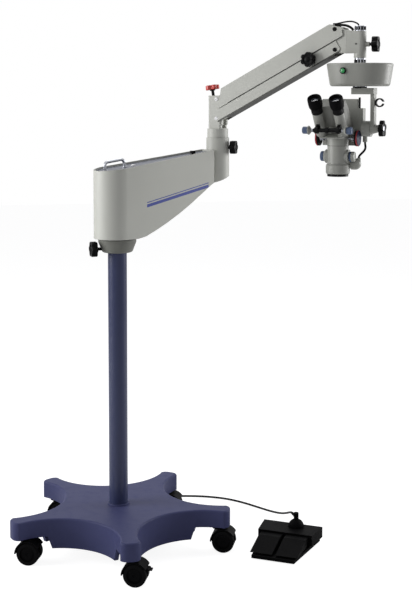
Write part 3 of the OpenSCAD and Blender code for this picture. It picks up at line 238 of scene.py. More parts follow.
def finish(name, rgb, rough=0.4, metal=0.0, scale=900, bump=0.15, depth=0.0002, tint=0.08,
           coat=0.0, spec=0.5):
    """Material of one finish: colour with a slow tint, roughness with handling marks, and grain as bump."""
    if name in FINISHES:
        return FINISHES[name]
    m = bpy.data.materials.new(name)
    m.use_nodes = True
    n, l = m.node_tree.nodes, m.node_tree.links
    p = n["Principled BSDF"]
    grain, marks = n.new("ShaderNodeGroup"), n.new("ShaderNodeGroup")
    grain.node_tree = group("grain", grain_group)
    marks.node_tree = group("marks", scuff_group)
    grain.inputs["Scale"].default_value = scale
    mix = n.new("ShaderNodeMix")
    mix.data_type = "RGBA"
    mix.inputs[6].default_value = (*[c * (1 - tint) for c in rgb], 1)
    mix.inputs[7].default_value = (*[min(1, c * (1 + tint)) for c in rgb], 1)
    l.new(grain.outputs["Tint"], mix.inputs[0])
    l.new(mix.outputs[2], p.inputs["Base Color"])
    r = n.new("ShaderNodeMapRange")
    r.inputs["To Min"].default_value = rough
    r.inputs["To Max"].default_value = min(1, rough + WEAR)
    l.new(marks.outputs["Mask"], r.inputs["Value"])
    l.new(r.outputs["Result"], p.inputs["Roughness"])
    b = n.new("ShaderNodeBump")
    b.inputs["Strength"].default_value = bump
    b.inputs["Distance"].default_value = depth
    l.new(grain.outputs["Height"], b.inputs["Height"])
    l.new(b.outputs["Normal"], p.inputs["Normal"])
    p.inputs["Metallic"].default_value = metal
    p.inputs["Coat Weight"].default_value = coat
    p.inputs["Specular IOR Level"].default_value = spec
    m.diffuse_color = (*rgb, 1)
    FINISHES[name] = m
    return m


def banded(m, matrix, rgb, slope, bands, ends):
    """Lays bands of a second colour on a finish: each runs along a frame's X and rises by the slope."""
    n, l = m.node_tree.nodes, m.node_tree.links
    p = n["Principled BSDF"]
    under = p.inputs["Base Color"].links[0].from_socket
    tc, mp = n.new("ShaderNodeTexCoord"), n.new("ShaderNodeMapping")
    sep = n.new("ShaderNodeSeparateXYZ")
    back = np.linalg.inv(matrix)
    mp.inputs["Location"].default_value = back[:3, 3] * 0.001
    mp.inputs["Rotation"].default_value = Matrix(back[:3, :3].tolist()).to_euler("XYZ")
    l.new(tc.outputs["Object"], mp.inputs["Vector"])
    l.new(mp.outputs["Vector"], sep.inputs["Vector"])

    def maths(kind, a, b, c=None):
        node = n.new("ShaderNodeMath")
        node.operation = kind
        for socket, value in zip(node.inputs, (a, b, c)):
            if hasattr(value, "node"):
                l.new(value, socket)
            elif value is not None:
                socket.default_value = value
        return node.outputs[0]

    height = maths("MULTIPLY_ADD", sep.outputs["X"], -slope, sep.outputs["Z"])
    mask = None
    for low, high in bands:
        one = maths("COMPARE", height, (low + high) * 0.0005, (high - low) * 0.0005)
        mask = one if mask is None else maths("MAXIMUM", mask, one)
    within = maths("COMPARE", sep.outputs["X"], sum(ends) * 0.0005, (ends[1] - ends[0]) * 0.0005)
    mask = maths("MULTIPLY", mask, within)
    mix = n.new("ShaderNodeMix")
    mix.data_type = "RGBA"
    mix.inputs[7].default_value = (*rgb, 1)
    l.new(mask, mix.inputs[0])
    l.new(under, mix.inputs[6])
    l.new(mix.outputs[2], p.inputs["Base Color"])
    return m


# Finishes: colour of the settings or in 0 to 255, roughness, grain for each metre, its bump, and the rest
PAINTS = {
    "base_paint": ("base", 0.5, 1400, 0.2, dict(tint=0.05, spec=0.12)),
    "column_blue": ("column", 0.3, 1400, 0.08, dict(tint=0.05, coat=0.12, spec=0.35)),
    "caster_black": ("black", 0.45, 1200, 0.15, dict(spec=0.03)),
    "cover_stripes": ("cover", 0.45, 1500, 0.07, dict(tint=0.025)),
    "upper_paint": ("cover", 0.45, 1500, 0.07, dict(tint=0.025)),
    # The lower link's finish also carries a band of painted shade along its underside, laid in the castings
    # operator.
    "link_paint": ("cover", 0.45, 1500, 0.07, dict(tint=0.025)),
    # Painted shade: the collar cup gets a darker copy of the cover grey, standing in for the shade under the
    # arm.
    "collar_grey": ((112, 113, 107), 0.5, 1100, 0.3, dict(tint=0.03, spec=0.3)),
    "casting_grey": ("cover", 0.45, 1100, 0.1, dict(tint=0.03)),
    "head_grey": ("head", 0.4, 1500, 0.2, dict(tint=0.03)),
    "panel_blue": ("panel", 0.4, 1500, 0.15, {}),
    "knob_black": ("black", 0.36, 1500, 0.2, dict(spec=0.08)),
    "knob_red": ("red", 0.28, 700, 0.05, dict(coat=0.3)),
    "button_green": ("green", 0.3, 700, 0.05, dict(coat=0.2)),
    "steel": ((172, 174, 180), 0.28, 2500, 0.1, dict(metal=1.0, tint=0.04)),
    "chrome": ((150, 152, 158), 0.12, 2500, 0.03, dict(metal=1.0, tint=0.02)),
    "bronze": ((190, 150, 90), 0.35, 900, 0.15, dict(metal=1.0)),
    "navy": ("navy", 0.4, 1500, 0.1, dict(spec=0.12)),
    "slate": ("slate", 0.4, 1200, 0.15, dict(spec=0.2)),
    "band_red": ((150, 22, 30), 0.35, 900, 0.05, {}),
    "white_cap": ((226, 226, 228), 0.35, 900, 0.05, {}),
    "dark_gap": ((20, 20, 20), 0.7, 900, 0.1, dict(spec=0.2)),
    "black_ring": ((9, 9, 10), 0.36, 1500, 0.1, dict(spec=0.12)),
    "cable_black": ((10, 10, 11), 0.48, 900, 0.2, dict(spec=0.15)),
    "switch_black": ((8, 8, 9), 0.5, 700, 0.5, dict(depth=0.0004, spec=0.02)),
    "rubber": ((8, 8, 9), 0.6, 900, 0.3, dict(spec=0.05)),
}


def paint(key):
    """The material of a finish."""
    tone, rough, scale, bump, more = PAINTS[key]
    rgb = getattr(bpy.context.scene.scope_colours, tone) if isinstance(tone, str) else srgb(*tone)
    return finish(key, rgb, rough, scale=scale, bump=bump, **more)


def glass():
    """Coated objective glass."""
    if "glass" not in FINISHES:
        m = bpy.data.materials.new("glass")
        m.use_nodes = True
        p = m.node_tree.nodes["Principled BSDF"]
        p.inputs["Base Color"].default_value = (*srgb(196, 208, 226), 1)
        p.inputs["Roughness"].default_value = 0.03
        p.inputs["Transmission Weight"].default_value = 0.9
        FINISHES["glass"] = m
    return FINISHES["glass"]


# Meshes

def place(points, matrix):
    """Points in millimetres of a frame, as metres in the row frame."""
    p = np.asarray(points, float).reshape(-1, 3)
    return (p @ matrix[:3, :3].T + matrix[:3, 3]) * 0.001


def build(name, points, faces, body, slot, matrix, angle=32, material=None):
    """Object from points and faces, doubles merged, faces outwards; a tuple of bodies and ends in place of a
    body only bakes it where it stands, and the tuple's contents are not used.
    """
    bm = bmesh.new()
    verts = [bm.verts.new(p) for p in place(points, matrix)]
    for f in faces:
        if len(set(f)) > 2:
            bm.faces.new([verts[i] for i in f])
    bmesh.ops.remove_doubles(bm, verts=bm.verts, dist=1e-6)
    bmesh.ops.recalc_face_normals(bm, faces=bm.faces)
    mesh = bpy.data.meshes.new(name)
    bm.to_mesh(mesh)
    bm.free()
    mesh.shade_smooth()
    mesh.set_sharp_from_angle(angle=math.radians(angle))
    o = bpy.data.objects.new(name, mesh)
    bpy.context.scene.collection.objects.link(o)
    mesh.materials.append(material or paint(slot))
    if isinstance(body, tuple):
        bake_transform(o)
    else:
        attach(o, body)
    return o


def rings_faces(m, n, closed=True, caps=True):
    """Quads between m rings of n points each, and flat caps on the two end rings."""
    i = np.arange(m - 1)[:, None] * n
    j = np.arange(n if closed else n - 1)[None, :]
    k = (j + 1) % n
    quads = np.stack([i + j, i + k, i + n + k, i + n + j], -1).reshape(-1, 4).tolist()
    if caps:
        quads += [list(range(n))[::-1], list(range((m - 1) * n, m * n))]
    return quads


def fillet(points, radius, steps=4, closed=True):
    """Outline with each corner replaced by an arc: radius is one number or one for each corner."""
    p = np.asarray(points, float)
    n = len(p)
    r = np.broadcast_to(np.asarray(radius, float), (n,))
    out = []
    for i in range(n):
        if (not closed and i in (0, n - 1)) or r[i] <= 0:
            out.append(p[i])
            continue
        a, b, c = p[i - 1], p[i], p[(i + 1) % n]
        u, v = (a - b) / np.linalg.norm(a - b), (c - b) / np.linalg.norm(c - b)
        half = math.acos(max(-1, min(1, float(u @ v)))) / 2
        if half > 1.55 or half < 0.02:
            out.append(b)
            continue
        d = r[i] / math.tan(half)
        d = min(d, np.linalg.norm(a - b) * 0.49, np.linalg.norm(c - b) * 0.49)
        rr = d * math.tan(half)
        mid = (u + v) / np.linalg.norm(u + v)
        centre = b + mid * rr / math.sin(half)
        s, e = b + u * d - centre, b + v * d - centre
        w = math.acos(max(-1, min(1, float(s @ e) / rr ** 2)))
        for t in np.linspace(0, 1, steps + 1):
            out.append(centre + (math.sin((1 - t) * w) * s + math.sin(t * w) * e) / math.sin(w))
    return np.array(out)


def lathe(name, profile, body, slot, matrix, n=64, loop=False, **k):
    """Surface of revolution about Z: a profile of radius and height, from axis to axis or a closed loop."""
    q = np.asarray(profile, float)
    t = np.linspace(0, 2 * math.pi, n, endpoint=False)
    ring = np.stack([np.cos(t), np.sin(t)], -1)
    pts = np.concatenate([q[:, None, :1] * ring[None], np.broadcast_to(q[:, None, 1:], (len(q), n, 1))], -1)
    return build(name, pts, rings_faces(len(q), n, caps=not loop), body, slot, matrix, **k)


def outward(outline):
    """Unit normals of a closed outline, away from its inside: each side's direction, turned a quarter."""
    d = np.roll(outline, -1, 0) - np.roll(outline, 1, 0)
    nrm = np.stack([d[:, 1], -d[:, 0]], -1)
    nrm /= np.maximum(np.linalg.norm(nrm, axis=1, keepdims=True), 1e-9)
    after = np.roll(outline, -1, 0)
    return nrm * np.sign(np.sum(outline[:, 0] * after[:, 1] - after[:, 0] * outline[:, 1]))


def slab(name, outline, z0, z1, body, slot, matrix, r1=1.5, steps=3):
    """Prism on an outline, its upper rim rounded: each ring is the outline moved in along its normals."""
    p = np.asarray(outline, float)
    nrm = outward(p)
    prof = [(0, z0)]
    for a in (np.linspace(0, math.pi / 2, steps + 1) if r1 > 0 else [0]):
        prof.append((r1 * (1 - math.cos(a)), z1 - r1 * (1 - math.sin(a))))
    pts = [np.concatenate([p - nrm * inset, np.full((len(p), 1), z)], 1) for inset, z in prof]
    return build(name, np.array(pts), rings_faces(len(pts), len(p)), body, slot, matrix)


def spline(points, n=8):
    """Catmull-Rom curve: a cubic between each two points, its slope at a point half the step across it."""
    p = np.asarray(points, float)
    q = np.vstack([2 * p[0] - p[1], p, 2 * p[-1] - p[-2]])
    t = np.linspace(0, 1, n, endpoint=False)[:, None]
    a, b, c, d = (q[i:len(p) - 1 + i, None] for i in range(4))
    cubic = b + 0.5 * t * (c - a + t * (2 * a - 5 * b + 4 * c - d + t * (3 * b - a - 3 * c + d)))
    return np.vstack([cubic.reshape(-1, 3), p[-1:]])


def tube(name, path, radius, body, slot, matrix, n=16):
    """Round tube along points: rings stand square to the path's direction."""
    p = np.asarray(path, float)
    d = np.gradient(p, axis=0)
    d /= np.linalg.norm(d, axis=1, keepdims=True)
    up = np.array([0, 0, 1.0]) if abs(d[0, 2]) < 0.9 else np.array([1.0, 0, 0])
    u = np.cross(up, d[0])
    us = []
    for t in d:
        u = u - t * (u @ t)
        u = u / np.linalg.norm(u)
        us.append(u)
    us = np.array(us)
    vs = np.cross(d, us)
    a = np.linspace(0, 2 * math.pi, n, endpoint=False)[:, None]
    ring = np.cos(a) * us[:, None] + np.sin(a) * vs[:, None]
    return build(name, p[:, None] + radius * ring, rings_faces(len(p), n), body, slot, matrix)


def curve_through(points, count):
    """Smooth curve through points: a Catmull-Rom spline, sampled evenly by length."""
    fine = spline(points, 24)
    s = np.concatenate([[0], np.cumsum(np.linalg.norm(np.diff(fine, axis=0), axis=1))])
    at = np.linspace(0, s[-1], count)
    return np.stack([np.interp(at, s, fine[:, i]) for i in range(3)], -1)


def dress(node, slot, width):
    """Copy of a CAD node with its facets merged and its edges rounded, in place of the node."""
    src = frame["nodes"][node]
    bm = bmesh.new()
    bm.from_mesh(src.data)
    bmesh.ops.remove_doubles(bm, verts=bm.verts, dist=2e-6)
    bmesh.ops.dissolve_limit(bm, angle_limit=math.radians(0.6), verts=bm.verts, edges=bm.edges)
    mesh = bpy.data.meshes.new(node + "_skin")
    bm.to_mesh(mesh)
    bm.free()
    mesh.materials.clear()
    mesh.materials.append(paint(slot))
    mesh.shade_smooth()
    mesh.set_sharp_from_angle(angle=math.radians(50))
    o = bpy.data.objects.new(node + "_skin", mesh)
    bpy.context.scene.collection.objects.link(o)
    b = o.modifiers.new("edges", "BEVEL")
    b.width = width * 0.001
    b.segments = 2
    b.limit_method = "ANGLE"
    b.angle_limit = math.radians(35)
    b.harden_normals = False
    o.modifiers.new("weights", "WEIGHTED_NORMAL").keep_sharp = True
    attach(o, src["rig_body"])
    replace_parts(o, node)
    return o


def keep(node, slot, material=None):
    """A CAD node whose shape is right gets its finish."""
    o = frame["nodes"][node]
    o.data.materials.clear()
    o.data.materials.append(material or paint(slot))


# Operators

# Lamps: name, place and size in metres, and power in watts
LAMPS = (("left", (-3.4, 0.2, 1.7), 2.0, 98), ("front", (-1.2, -3.6, 2.2), 2.2, 10),
         ("top", (0.4, 1.4, 4.0), 2.4, 50), ("right", (3.4, 0.4, 1.6), 1.8, 66))
LIT_POINT = (0.0, 0.0, 0.9)
# The photograph's height, its focal length and the height of its optical axis, in pixels
PHOTO_HEIGHT = 600
PHOTO_FOCAL = 1220.3
PHOTO_AXIS = 175.45
SENSOR = 36
CAMERA_PLACE = (-384.25, -3872.64, 1476.3)


class STAGE_OT_floor(bpy.types.Operator):
    """Pale floor and world, soft studio lamps and the camera at the photograph's place"""
    bl_idname = "microscope.stage"
    bl_label = "Stage"

    def execute(self, context):
        scene = context.scene
        scene.view_settings.view_transform = "Standard"
        mesh = bpy.data.meshes.new("floor")
        half = 12
        corners = [(-half, -half, 0), (half, -half, 0), (half, half, 0), (-half, half, 0)]
        mesh.from_pydata(corners, [], [(0, 1, 2, 3)])
        floor = bpy.data.objects.new("floor", mesh)
        scene.collection.objects.link(floor)
        m = bpy.data.materials.new("floor")
        m.use_nodes = True
        n, l = m.node_tree.nodes, m.node_tree.links
        p, out = n["Principled BSDF"], n["Material Output"]
        p.inputs["Base Color"].default_value = (0.86, 0.86, 0.86, 1)
        p.inputs["Roughness"].default_value = 0.9
        p.inputs["Specular IOR Level"].default_value = 0.1
        e, mix = n.new("ShaderNodeEmission"), n.new("ShaderNodeMixShader")
        path = n.new("ShaderNodeLightPath")
        gain = n.new("ShaderNodeMath")
        gain.operation = "MULTIPLY"
        gain.inputs[1].default_value = 0.6
        e.inputs["Strength"].default_value = 1.5
        l.new(path.outputs["Is Camera Ray"], gain.inputs[0])
        l.new(gain.outputs[0], mix.inputs[0])
        l.new(p.outputs[0], mix.inputs[1])
        l.new(e.outputs[0], mix.inputs[2])
        l.new(mix.outputs[0], out.inputs["Surface"])
        mesh.materials.append(m)
        w = bpy.data.worlds.new("studio")
        scene.world = w
        w.use_nodes = True
        n, l = w.node_tree.nodes, w.node_tree.links
        bg = n["Background"]
        seen, mixc = n.new("ShaderNodeLightPath"), n.new("ShaderNodeMix")
        add1, add2 = n.new("ShaderNodeMath"), n.new("ShaderNodeMath")
        for a in (add1, add2):
            a.operation = "ADD"
            a.use_clamp = True
        mixc.data_type = "RGBA"
        mixc.inputs[6].default_value = (0.2, 0.2, 0.21, 1)
        mixc.inputs[7].default_value = (1, 1, 1, 1)
        l.new(seen.outputs["Is Camera Ray"], add1.inputs[0])
        l.new(seen.outputs["Is Glossy Ray"], add1.inputs[1])
        l.new(add1.outputs[0], add2.inputs[0])
        l.new(seen.outputs["Is Transmission Ray"], add2.inputs[1])
        l.new(add2.outputs[0], mixc.inputs[0])
        l.new(mixc.outputs[2], bg.inputs["Color"])
        centre = Vector(LIT_POINT)
        for name, at, size, power in LAMPS:
            lamp = bpy.data.lights.new(name, "AREA")
            lamp.energy = power
            lamp.size = size
            o = bpy.data.objects.new(name, lamp)
            o.location = at
            o.rotation_mode = "QUATERNION"
            o.rotation_quaternion = (centre - Vector(at)).to_track_quat("-Z", "Y")
            scene.collection.objects.link(o)
        cam = bpy.data.cameras.new("camera")
        cam.sensor_width = SENSOR
        cam.lens = PHOTO_FOCAL * SENSOR / PHOTO_HEIGHT
        cam.shift_y = -(PHOTO_HEIGHT / 2 - PHOTO_AXIS) / PHOTO_HEIGHT
        cam.clip_end = 60
        o = bpy.data.objects.new("camera", cam)
        o.location = place([CAMERA_PLACE], COLUMN)[0]
        o.rotation_euler = (math.radians(86), 0, math.radians(-9.85))
        scene.collection.objects.link(o)
        scene.camera = o
        return {"FINISHED"}


CABLE_POINTS = [
    (0, 0, 75), (0, 0, 60), (0, 0, 45), (0, 3, 30), (0, 11, 17), (0, 26, 8), (0, 45, 5), (2, 75, 4),
    (6, 110, 4), (12, 150, 4), (20, 195, 4), (32, 240, 4), (50, 285, 4), (75, 330, 4), (105, 368, 4),
    (140, 397, 4),
    (180, 416, 4), (220, 424, 4), (260, 425, 4), (300, 419, 4), (340, 409, 4), (380, 393, 4), (418, 372, 4),
    (454, 342, 4), (486, 306, 4), (513, 266, 5), (534, 222, 9), (549, 178, 16), (559, 134, 26), (565, 92, 38),
    (569, 52, 52), (571, 14, 67), (571.4, -12, 77), (569.6, -36.3, 84)]


class CORD_OT_cable(bpy.types.Operator):
    """Cable from the column's foot along the floor to the footswitch"""
    bl_idname = "microscope.foot_cable"
    bl_label = "Footswitch cable"

    def execute(self, context):
        radius = context.scene.scope_sizes.cable_radius * 1000
        path = curve_through(CABLE_POINTS, 140)
        o = tube("foot_cable_run", path, radius, "root", "cable_black", COLUMN)
        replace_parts(o, "foot_cable")
        return {"FINISHED"}


# Pieces

def knob_rings(r, t, lobes, depth, dish, n=120):
    """Lobed knob about Z: the profile's radius less a cosine scallop, weighted by its third value."""
    e = min(2.2, t * 0.16)
    prof = [(0, 0, 0), (r * 0.5, 0, 0), (r * 0.62, 0.4, 0.4), (r - e, 0.4, 1)]
    quarter = math.pi / 2
    prof += [(r - e + e * math.sin(a), 0.4 + e - e * math.cos(a), 1) for a in np.linspace(0.3, quarter, 4)]
    prof += [(r - e + e * math.cos(a), t - e + e * math.sin(a), 1) for a in np.linspace(0, quarter, 5)]
    prof += [(r * 0.64, t, 0.5), (r * 0.58, t - 0.4, 0.1), (r * 0.55, t - dish, 0)]
    prof += [(r * 0.5, t - dish, 0), (0, t - dish, 0)]
    q = np.array(prof)
    a = np.linspace(0, 2 * math.pi, n, endpoint=False)
    scallop = (0.5 + 0.5 * np.cos(lobes * a)) ** 1.6
    rad = q[:, :1] * (1 - depth * q[:, 2:3] * scallop[None])
    return np.stack([rad * np.cos(a), rad * np.sin(a), np.broadcast_to(q[:, 1:2], rad.shape)], -1)


def lock_knob(node, name, matrix, r, out, t, lobes, reach, slot="knob_black", depth=0.2, dish=2.6,
              cap="knob_black"):
    """Lobed knob with its dished face, centre cap, collar and shaft, on a frame whose X points outwards."""
    axis = matrix @ turn("y", 90) @ move(0, 0, out)
    rings = knob_rings(r, t, lobes, depth, dish)
    faces = rings_faces(len(rings), rings.shape[1], caps=False)
    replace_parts(build(name, rings, faces, node, slot, axis, angle=40), node)
    face = t - dish
    rim = r * 0.34
    dome = [(0, face - 0.5), (rim, face - 0.5), (rim, face + 0.9), (r * 0.3, face + 1.3), (0, face + 1.5)]
    lathe(name + "_cap", dome, node, cap, axis)
    shaft = [(0, reach - out), (5, reach - out), (5, -4), (8.5, -3.4), (9, -1), (9, 0.6), (0, 0.6)]
    lathe(name + "_shaft", shaft, node, cap, axis)


def fluted(name, profile, body, slot, matrix, count, depth, n=None, **k):
    """Turned ring with flutes: the radius drops by a cosine where the profile's third value is 1."""
    q = np.asarray(profile, float)
    n = n or count * 6
    a = np.linspace(0, 2 * math.pi, n, endpoint=False)
    cut = (0.5 + 0.5 * np.cos(count * a)) * depth
    rad = np.maximum(q[:, :1] - q[:, 2:3] * cut[None], 0)
    pts = np.stack([rad * np.cos(a), rad * np.sin(a), np.broadcast_to(q[:, 1:2], rad.shape)], -1)
    return build(name, pts, rings_faces(len(q), n, caps=False), body, slot, matrix, **k)


class KNOB_OT_locks(bpy.types.Operator):
    """Black lock knobs of the joints, the red balance knob and the tilt knob"""
    bl_idname = "microscope.lock_knobs"
    bl_label = "Lock knobs"

    def execute(self, context):
        r = context.scene.scope_sizes.knob_radius * 1000
        m = COLUMN @ move(0, 0, 971.5) @ turn("z", 190)
        lock_knob("collar_knob", "collar_lock", m, r, 68, 20, 6, 31)
        m = ARM @ move(ARM_LEN, 0, 1285) @ turn("z", -52)
        lock_knob("turret_knob", "turret_lock", m, r - 2, 45, 20, 6, 21)
        lock_knob("arm_knob", "arm_lock", ARM_KNOB, r - 1.5, 33, 20, 6, 24)
        skirt = [(0, -6), (17, -6), (19, -5), (20.6, -1), (20.6, 1.5), (0, 1.5)]
        lathe("arm_lock_skirt", skirt, "arm_knob", "knob_black", ARM_KNOB @ turn("y", 90) @ move(0, 0, 33))
        m = ELBOW @ move(75, 0, 16.7) @ turn("z", 10)
        lock_knob("head_knob", "head_lock", m, r + 0.5, 39, 20, 6, 12)
        lock_knob("tilt_knob", "tilt_lock", TILT_AXIS, 26.5, 66, 15, 5, 40, depth=0.3, dish=1.5, cap="chrome")
        m = TURRET @ move(-17, 0, 141) @ turn("y", -9) @ turn("y", -90)
        lock_knob("balance_knob", "balance_lock", m, 24, 20, 15, 5, -18,
                  slot="knob_red", depth=0.34, dish=1.2)
        return {"FINISHED"}


def flat_cap(points, first, count):
    """Triangles that fill a level ring that isn't convex; where its sides cross, a point is added."""
    z = points[first][2]
    flat = [Vector(q[:2]) for q in points[first:first + count]]
    out = delaunay_2d_cdt(flat, [], [list(range(count))], 1, 1e-5)
    index = []
    for at, came in zip(out[0], out[3]):
        if came:
            index.append(first + came[0])
        else:
            index.append(len(points))
            points.append((at[0], at[1], z))
    return [[index[i] for i in f] for f in out[2]]


# The base's outline: centres and radii of a leg's hollow side and of its rounded end
HOLLOW, HOLLOW_R = np.array([309.7, -225.0]), 198
TIP, TIP_R = np.array([339.0, -8.0]), 25
HOLLOW_START = math.radians(144)
SKIRT_RISE = [247, 259]
LEG_TURNS = [turn("z", -90 + 72 * i) for i in range(5)]
STEM_OUT = 325


def inset_line(outline, distance):
    """Outline moved in along its normals."""
    return outline - outward(outline) * distance


def arc(centre, radius, angles):
    """Points of an arc about a centre."""
    return centre + radius * np.stack([np.cos(angles), np.sin(angles)], -1)


def star_line():
    """Outline of the base, counter-clockwise: for each leg a hollow arc, a rounded end and a hollow arc."""
    gap = HOLLOW - TIP
    far = np.linalg.norm(gap)
    along = (TIP_R ** 2 - HOLLOW_R ** 2 + far ** 2) / (2 * far)
    foot = TIP + gap / far * along
    side = np.array([-gap[1], gap[0]]) / far * math.sqrt(TIP_R ** 2 - along ** 2)
    meet = max(foot + side, foot - side, key=lambda q: q[0])
    a = np.linspace(HOLLOW_START, math.atan2(*(meet - HOLLOW)[::-1]), 46)
    reach = np.linalg.norm(arc(HOLLOW, HOLLOW_R, a), axis=1)
    a = np.sort(np.concatenate([a, np.interp(SKIRT_RISE, reach, a)]))[::-1]
    b = np.linspace(math.atan2(*(meet - TIP)[::-1]), 0, 12)[1:]
    half = np.concatenate([arc(HOLLOW, HOLLOW_R, a), arc(TIP, TIP_R, b)])
    leg = np.concatenate([half, half[::-1] * (1, -1)])[:-1]
    return np.concatenate([leg @ m[:2, :2].T for m in LEG_TURNS])


class BASE_OT_casting(bpy.types.Operator):
    """Five-legged base: a rounded top, a skirt that rises at the leg ends, a hollow underside and bosses"""
    bl_idname = "microscope.base"
    bl_label = "Base"

    def execute(self, context):
        line = star_line()
        low = np.interp(np.linalg.norm(line, axis=1), SKIRT_RISE, [43, 82])
        levels = [(14, 118.0), (14, low), (1.2, low), (0.4, low + 0.4), (0, low + 1.2), (0, 132.0)]
        levels += [(6 - 6 * math.cos(t), 132 + 6 * math.sin(t)) for t in np.linspace(0, math.pi / 2, 7)[1:]]
        levels += [(8, 138.0)]
        rings = [np.column_stack([inset_line(line, inset), np.broadcast_to(z, len(line))])
                 for inset, z in levels]
        faces = rings_faces(len(rings), len(line), caps=False)
        points = [tuple(q) for ring in rings for q in ring]
        faces += flat_cap(points, 0, len(line)) + flat_cap(points, (len(rings) - 1) * len(line), len(line))
        o = build("base_skin", points, faces, "root", "base_paint", COLUMN, angle=40)
        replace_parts(o, "base_casting")
        ring = [(30.3, 136), (35.2, 136), (35.2, 141.6), (34.6, 142.7), (33.6, 143), (30.6, 143), (30.3, 136)]
        lathe("base_ring", ring, "root", "base_paint", COLUMN, loop=True)
        socket = [(3.6, 47), (46, 47), (46.2, 47.6), (46.2, 118.5), (3.6, 118.5), (3.6, 47)]
        lathe("base_socket", socket, "root", "base_paint", COLUMN, loop=True)
        boss = [(8.1, 82), (23.2, 82), (24, 83), (24, 118.5), (8.1, 118.5), (8.1, 82)]
        for i, leg in enumerate(LEG_TURNS):
            m = COLUMN @ leg @ move(STEM_OUT, 0, 0)
            lathe("stem_boss_%d" % (i + 1), boss, "root", "base_paint", m, n=48, loop=True)
        return {"FINISHED"}


class WHEEL_OT_casters(bpy.types.Operator):
    """Twin caster wheels: a rounded tread, a stepped hub and a domed cap on each side"""
    bl_idname = "microscope.caster_wheels"
    bl_label = "Caster wheels"

    def execute(self, context):
        tread = fillet([(24, 0), (36, 0), (36, 19), (24, 19)], [0, 2, 5, 2.5], 5, closed=False)
        tyre = list(tread) + [(24, 19), (24, 0)]
        hub = [(0, 15), (5, 15), (6, 16.5), (17, 16.8), (19, 15.6), (24.5, 15.4), (25, 3), (0, 3)]
        for i in range(5):
            body = "wheels_%d" % (i + 1)
            axle = caster_frame(i) @ move(20, 0, 36) @ turn("x", 90)
            for side, flip in (("a", UPRIGHT), ("b", UPSIDE_DOWN)):
                m = axle @ flip @ move(0, 0, 8)
                end = "_%d_%s" % (i + 1, side)
                o = lathe("caster_tyre" + end, tyre, body, "caster_black", m, material=paint("rubber"))
                if side == "a":
                    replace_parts(o, "caster_wheels_%d" % (i + 1))
                lathe("caster_hub" + end, hub, body, "caster_black", m)
            lathe("caster_axle_%d" % (i + 1), [(0, -10), (4, -10), (4, 10), (0, 10)], body, "steel", axle)
        return {"FINISHED"}


TUBE_LINE = [(0, 0.3), (17.8, 0.3), (18, 1.4), (17.6, 2.6), (16.5, 3), (16.5, 52), (16.1, 52.3), (16.1, 53.1),
             (16.5, 53.4), (16.5, 84), (0, 84)]
DIOPTRE_RING = [(0, 82, 0), (16.8, 82, 0), (17.5, 82.6, 0), (17.7, 83.4, 1), (17.7, 90, 1), (17.2, 90.6, 0),
                (17.2, 91.4, 0), (17.7, 92, 1), (17.7, 100, 1), (17.4, 101, 0), (0, 101, 0)]
CUP = [(0, 100), (17.2, 100), (17.6, 101.4), (19.4, 103), (20.9, 104.2), (21.4, 106), (21.2, 107),
       (21.8, 110), (22.2, 118), (22.3, 126), (22, 133), (21.5, 136), (20.8, 137.5), (19.8, 138),
       (18.8, 137.7), (17.6, 135.4), (16.2, 130.4), (15.4, 127.4), (14.6, 126.6), (0, 126.2)]
CUP_FLOOR = [(0, 126), (14.8, 126), (14.8, 127.8), (13.2, 127.6), (12.8, 126.8), (0, 126.6)]
EYE_LENS = [(0, 126), (12.6, 126), (12.6, 127), (11.2, 127.3), (7.6, 128), (0, 128.5)]
EYE_BOSS = [(6.9, -6), (9.6, -6), (10.5, -5), (10.5, 5), (9.6, 6), (6.9, 6), (6.9, -6)]
SPACING_BAR = [(0, -46.4), (4.4, -46.4), (4.4, -45), (6, -44.6), (6.5, -44), (6.5, 44), (6, 44.6), (4.4, 45),
               (4.4, 46.4), (0, 46.4)]
SPACING_KNOB = [(0, 62, 0), (9.4, 62, 0), (10.8, 62.6, 0), (11.2, 63.6, 1), (11.4, 76, 1), (11.1, 78, 0),
                (9.4, 79.6, 0), (6, 80, 0), (5.6, 79, 0), (0, 79, 0)]
SPACING_FLANGE = [(0, 51.5), (5.6, 51.5), (6.4, 52.4), (6.4, 54), (9, 55), (13.4, 58.4), (14, 59.4),
                  (14, 61.4), (13.4, 62), (10, 62.2), (0, 62.2)]
SPACING_COLLAR = [(0, 46), (5, 46), (5.4, 46.6), (5.4, 50.8), (5, 51.4), (0, 51.6)]
SIDES = ((-1, "left", UPSIDE_DOWN), (1, "right", UPRIGHT))


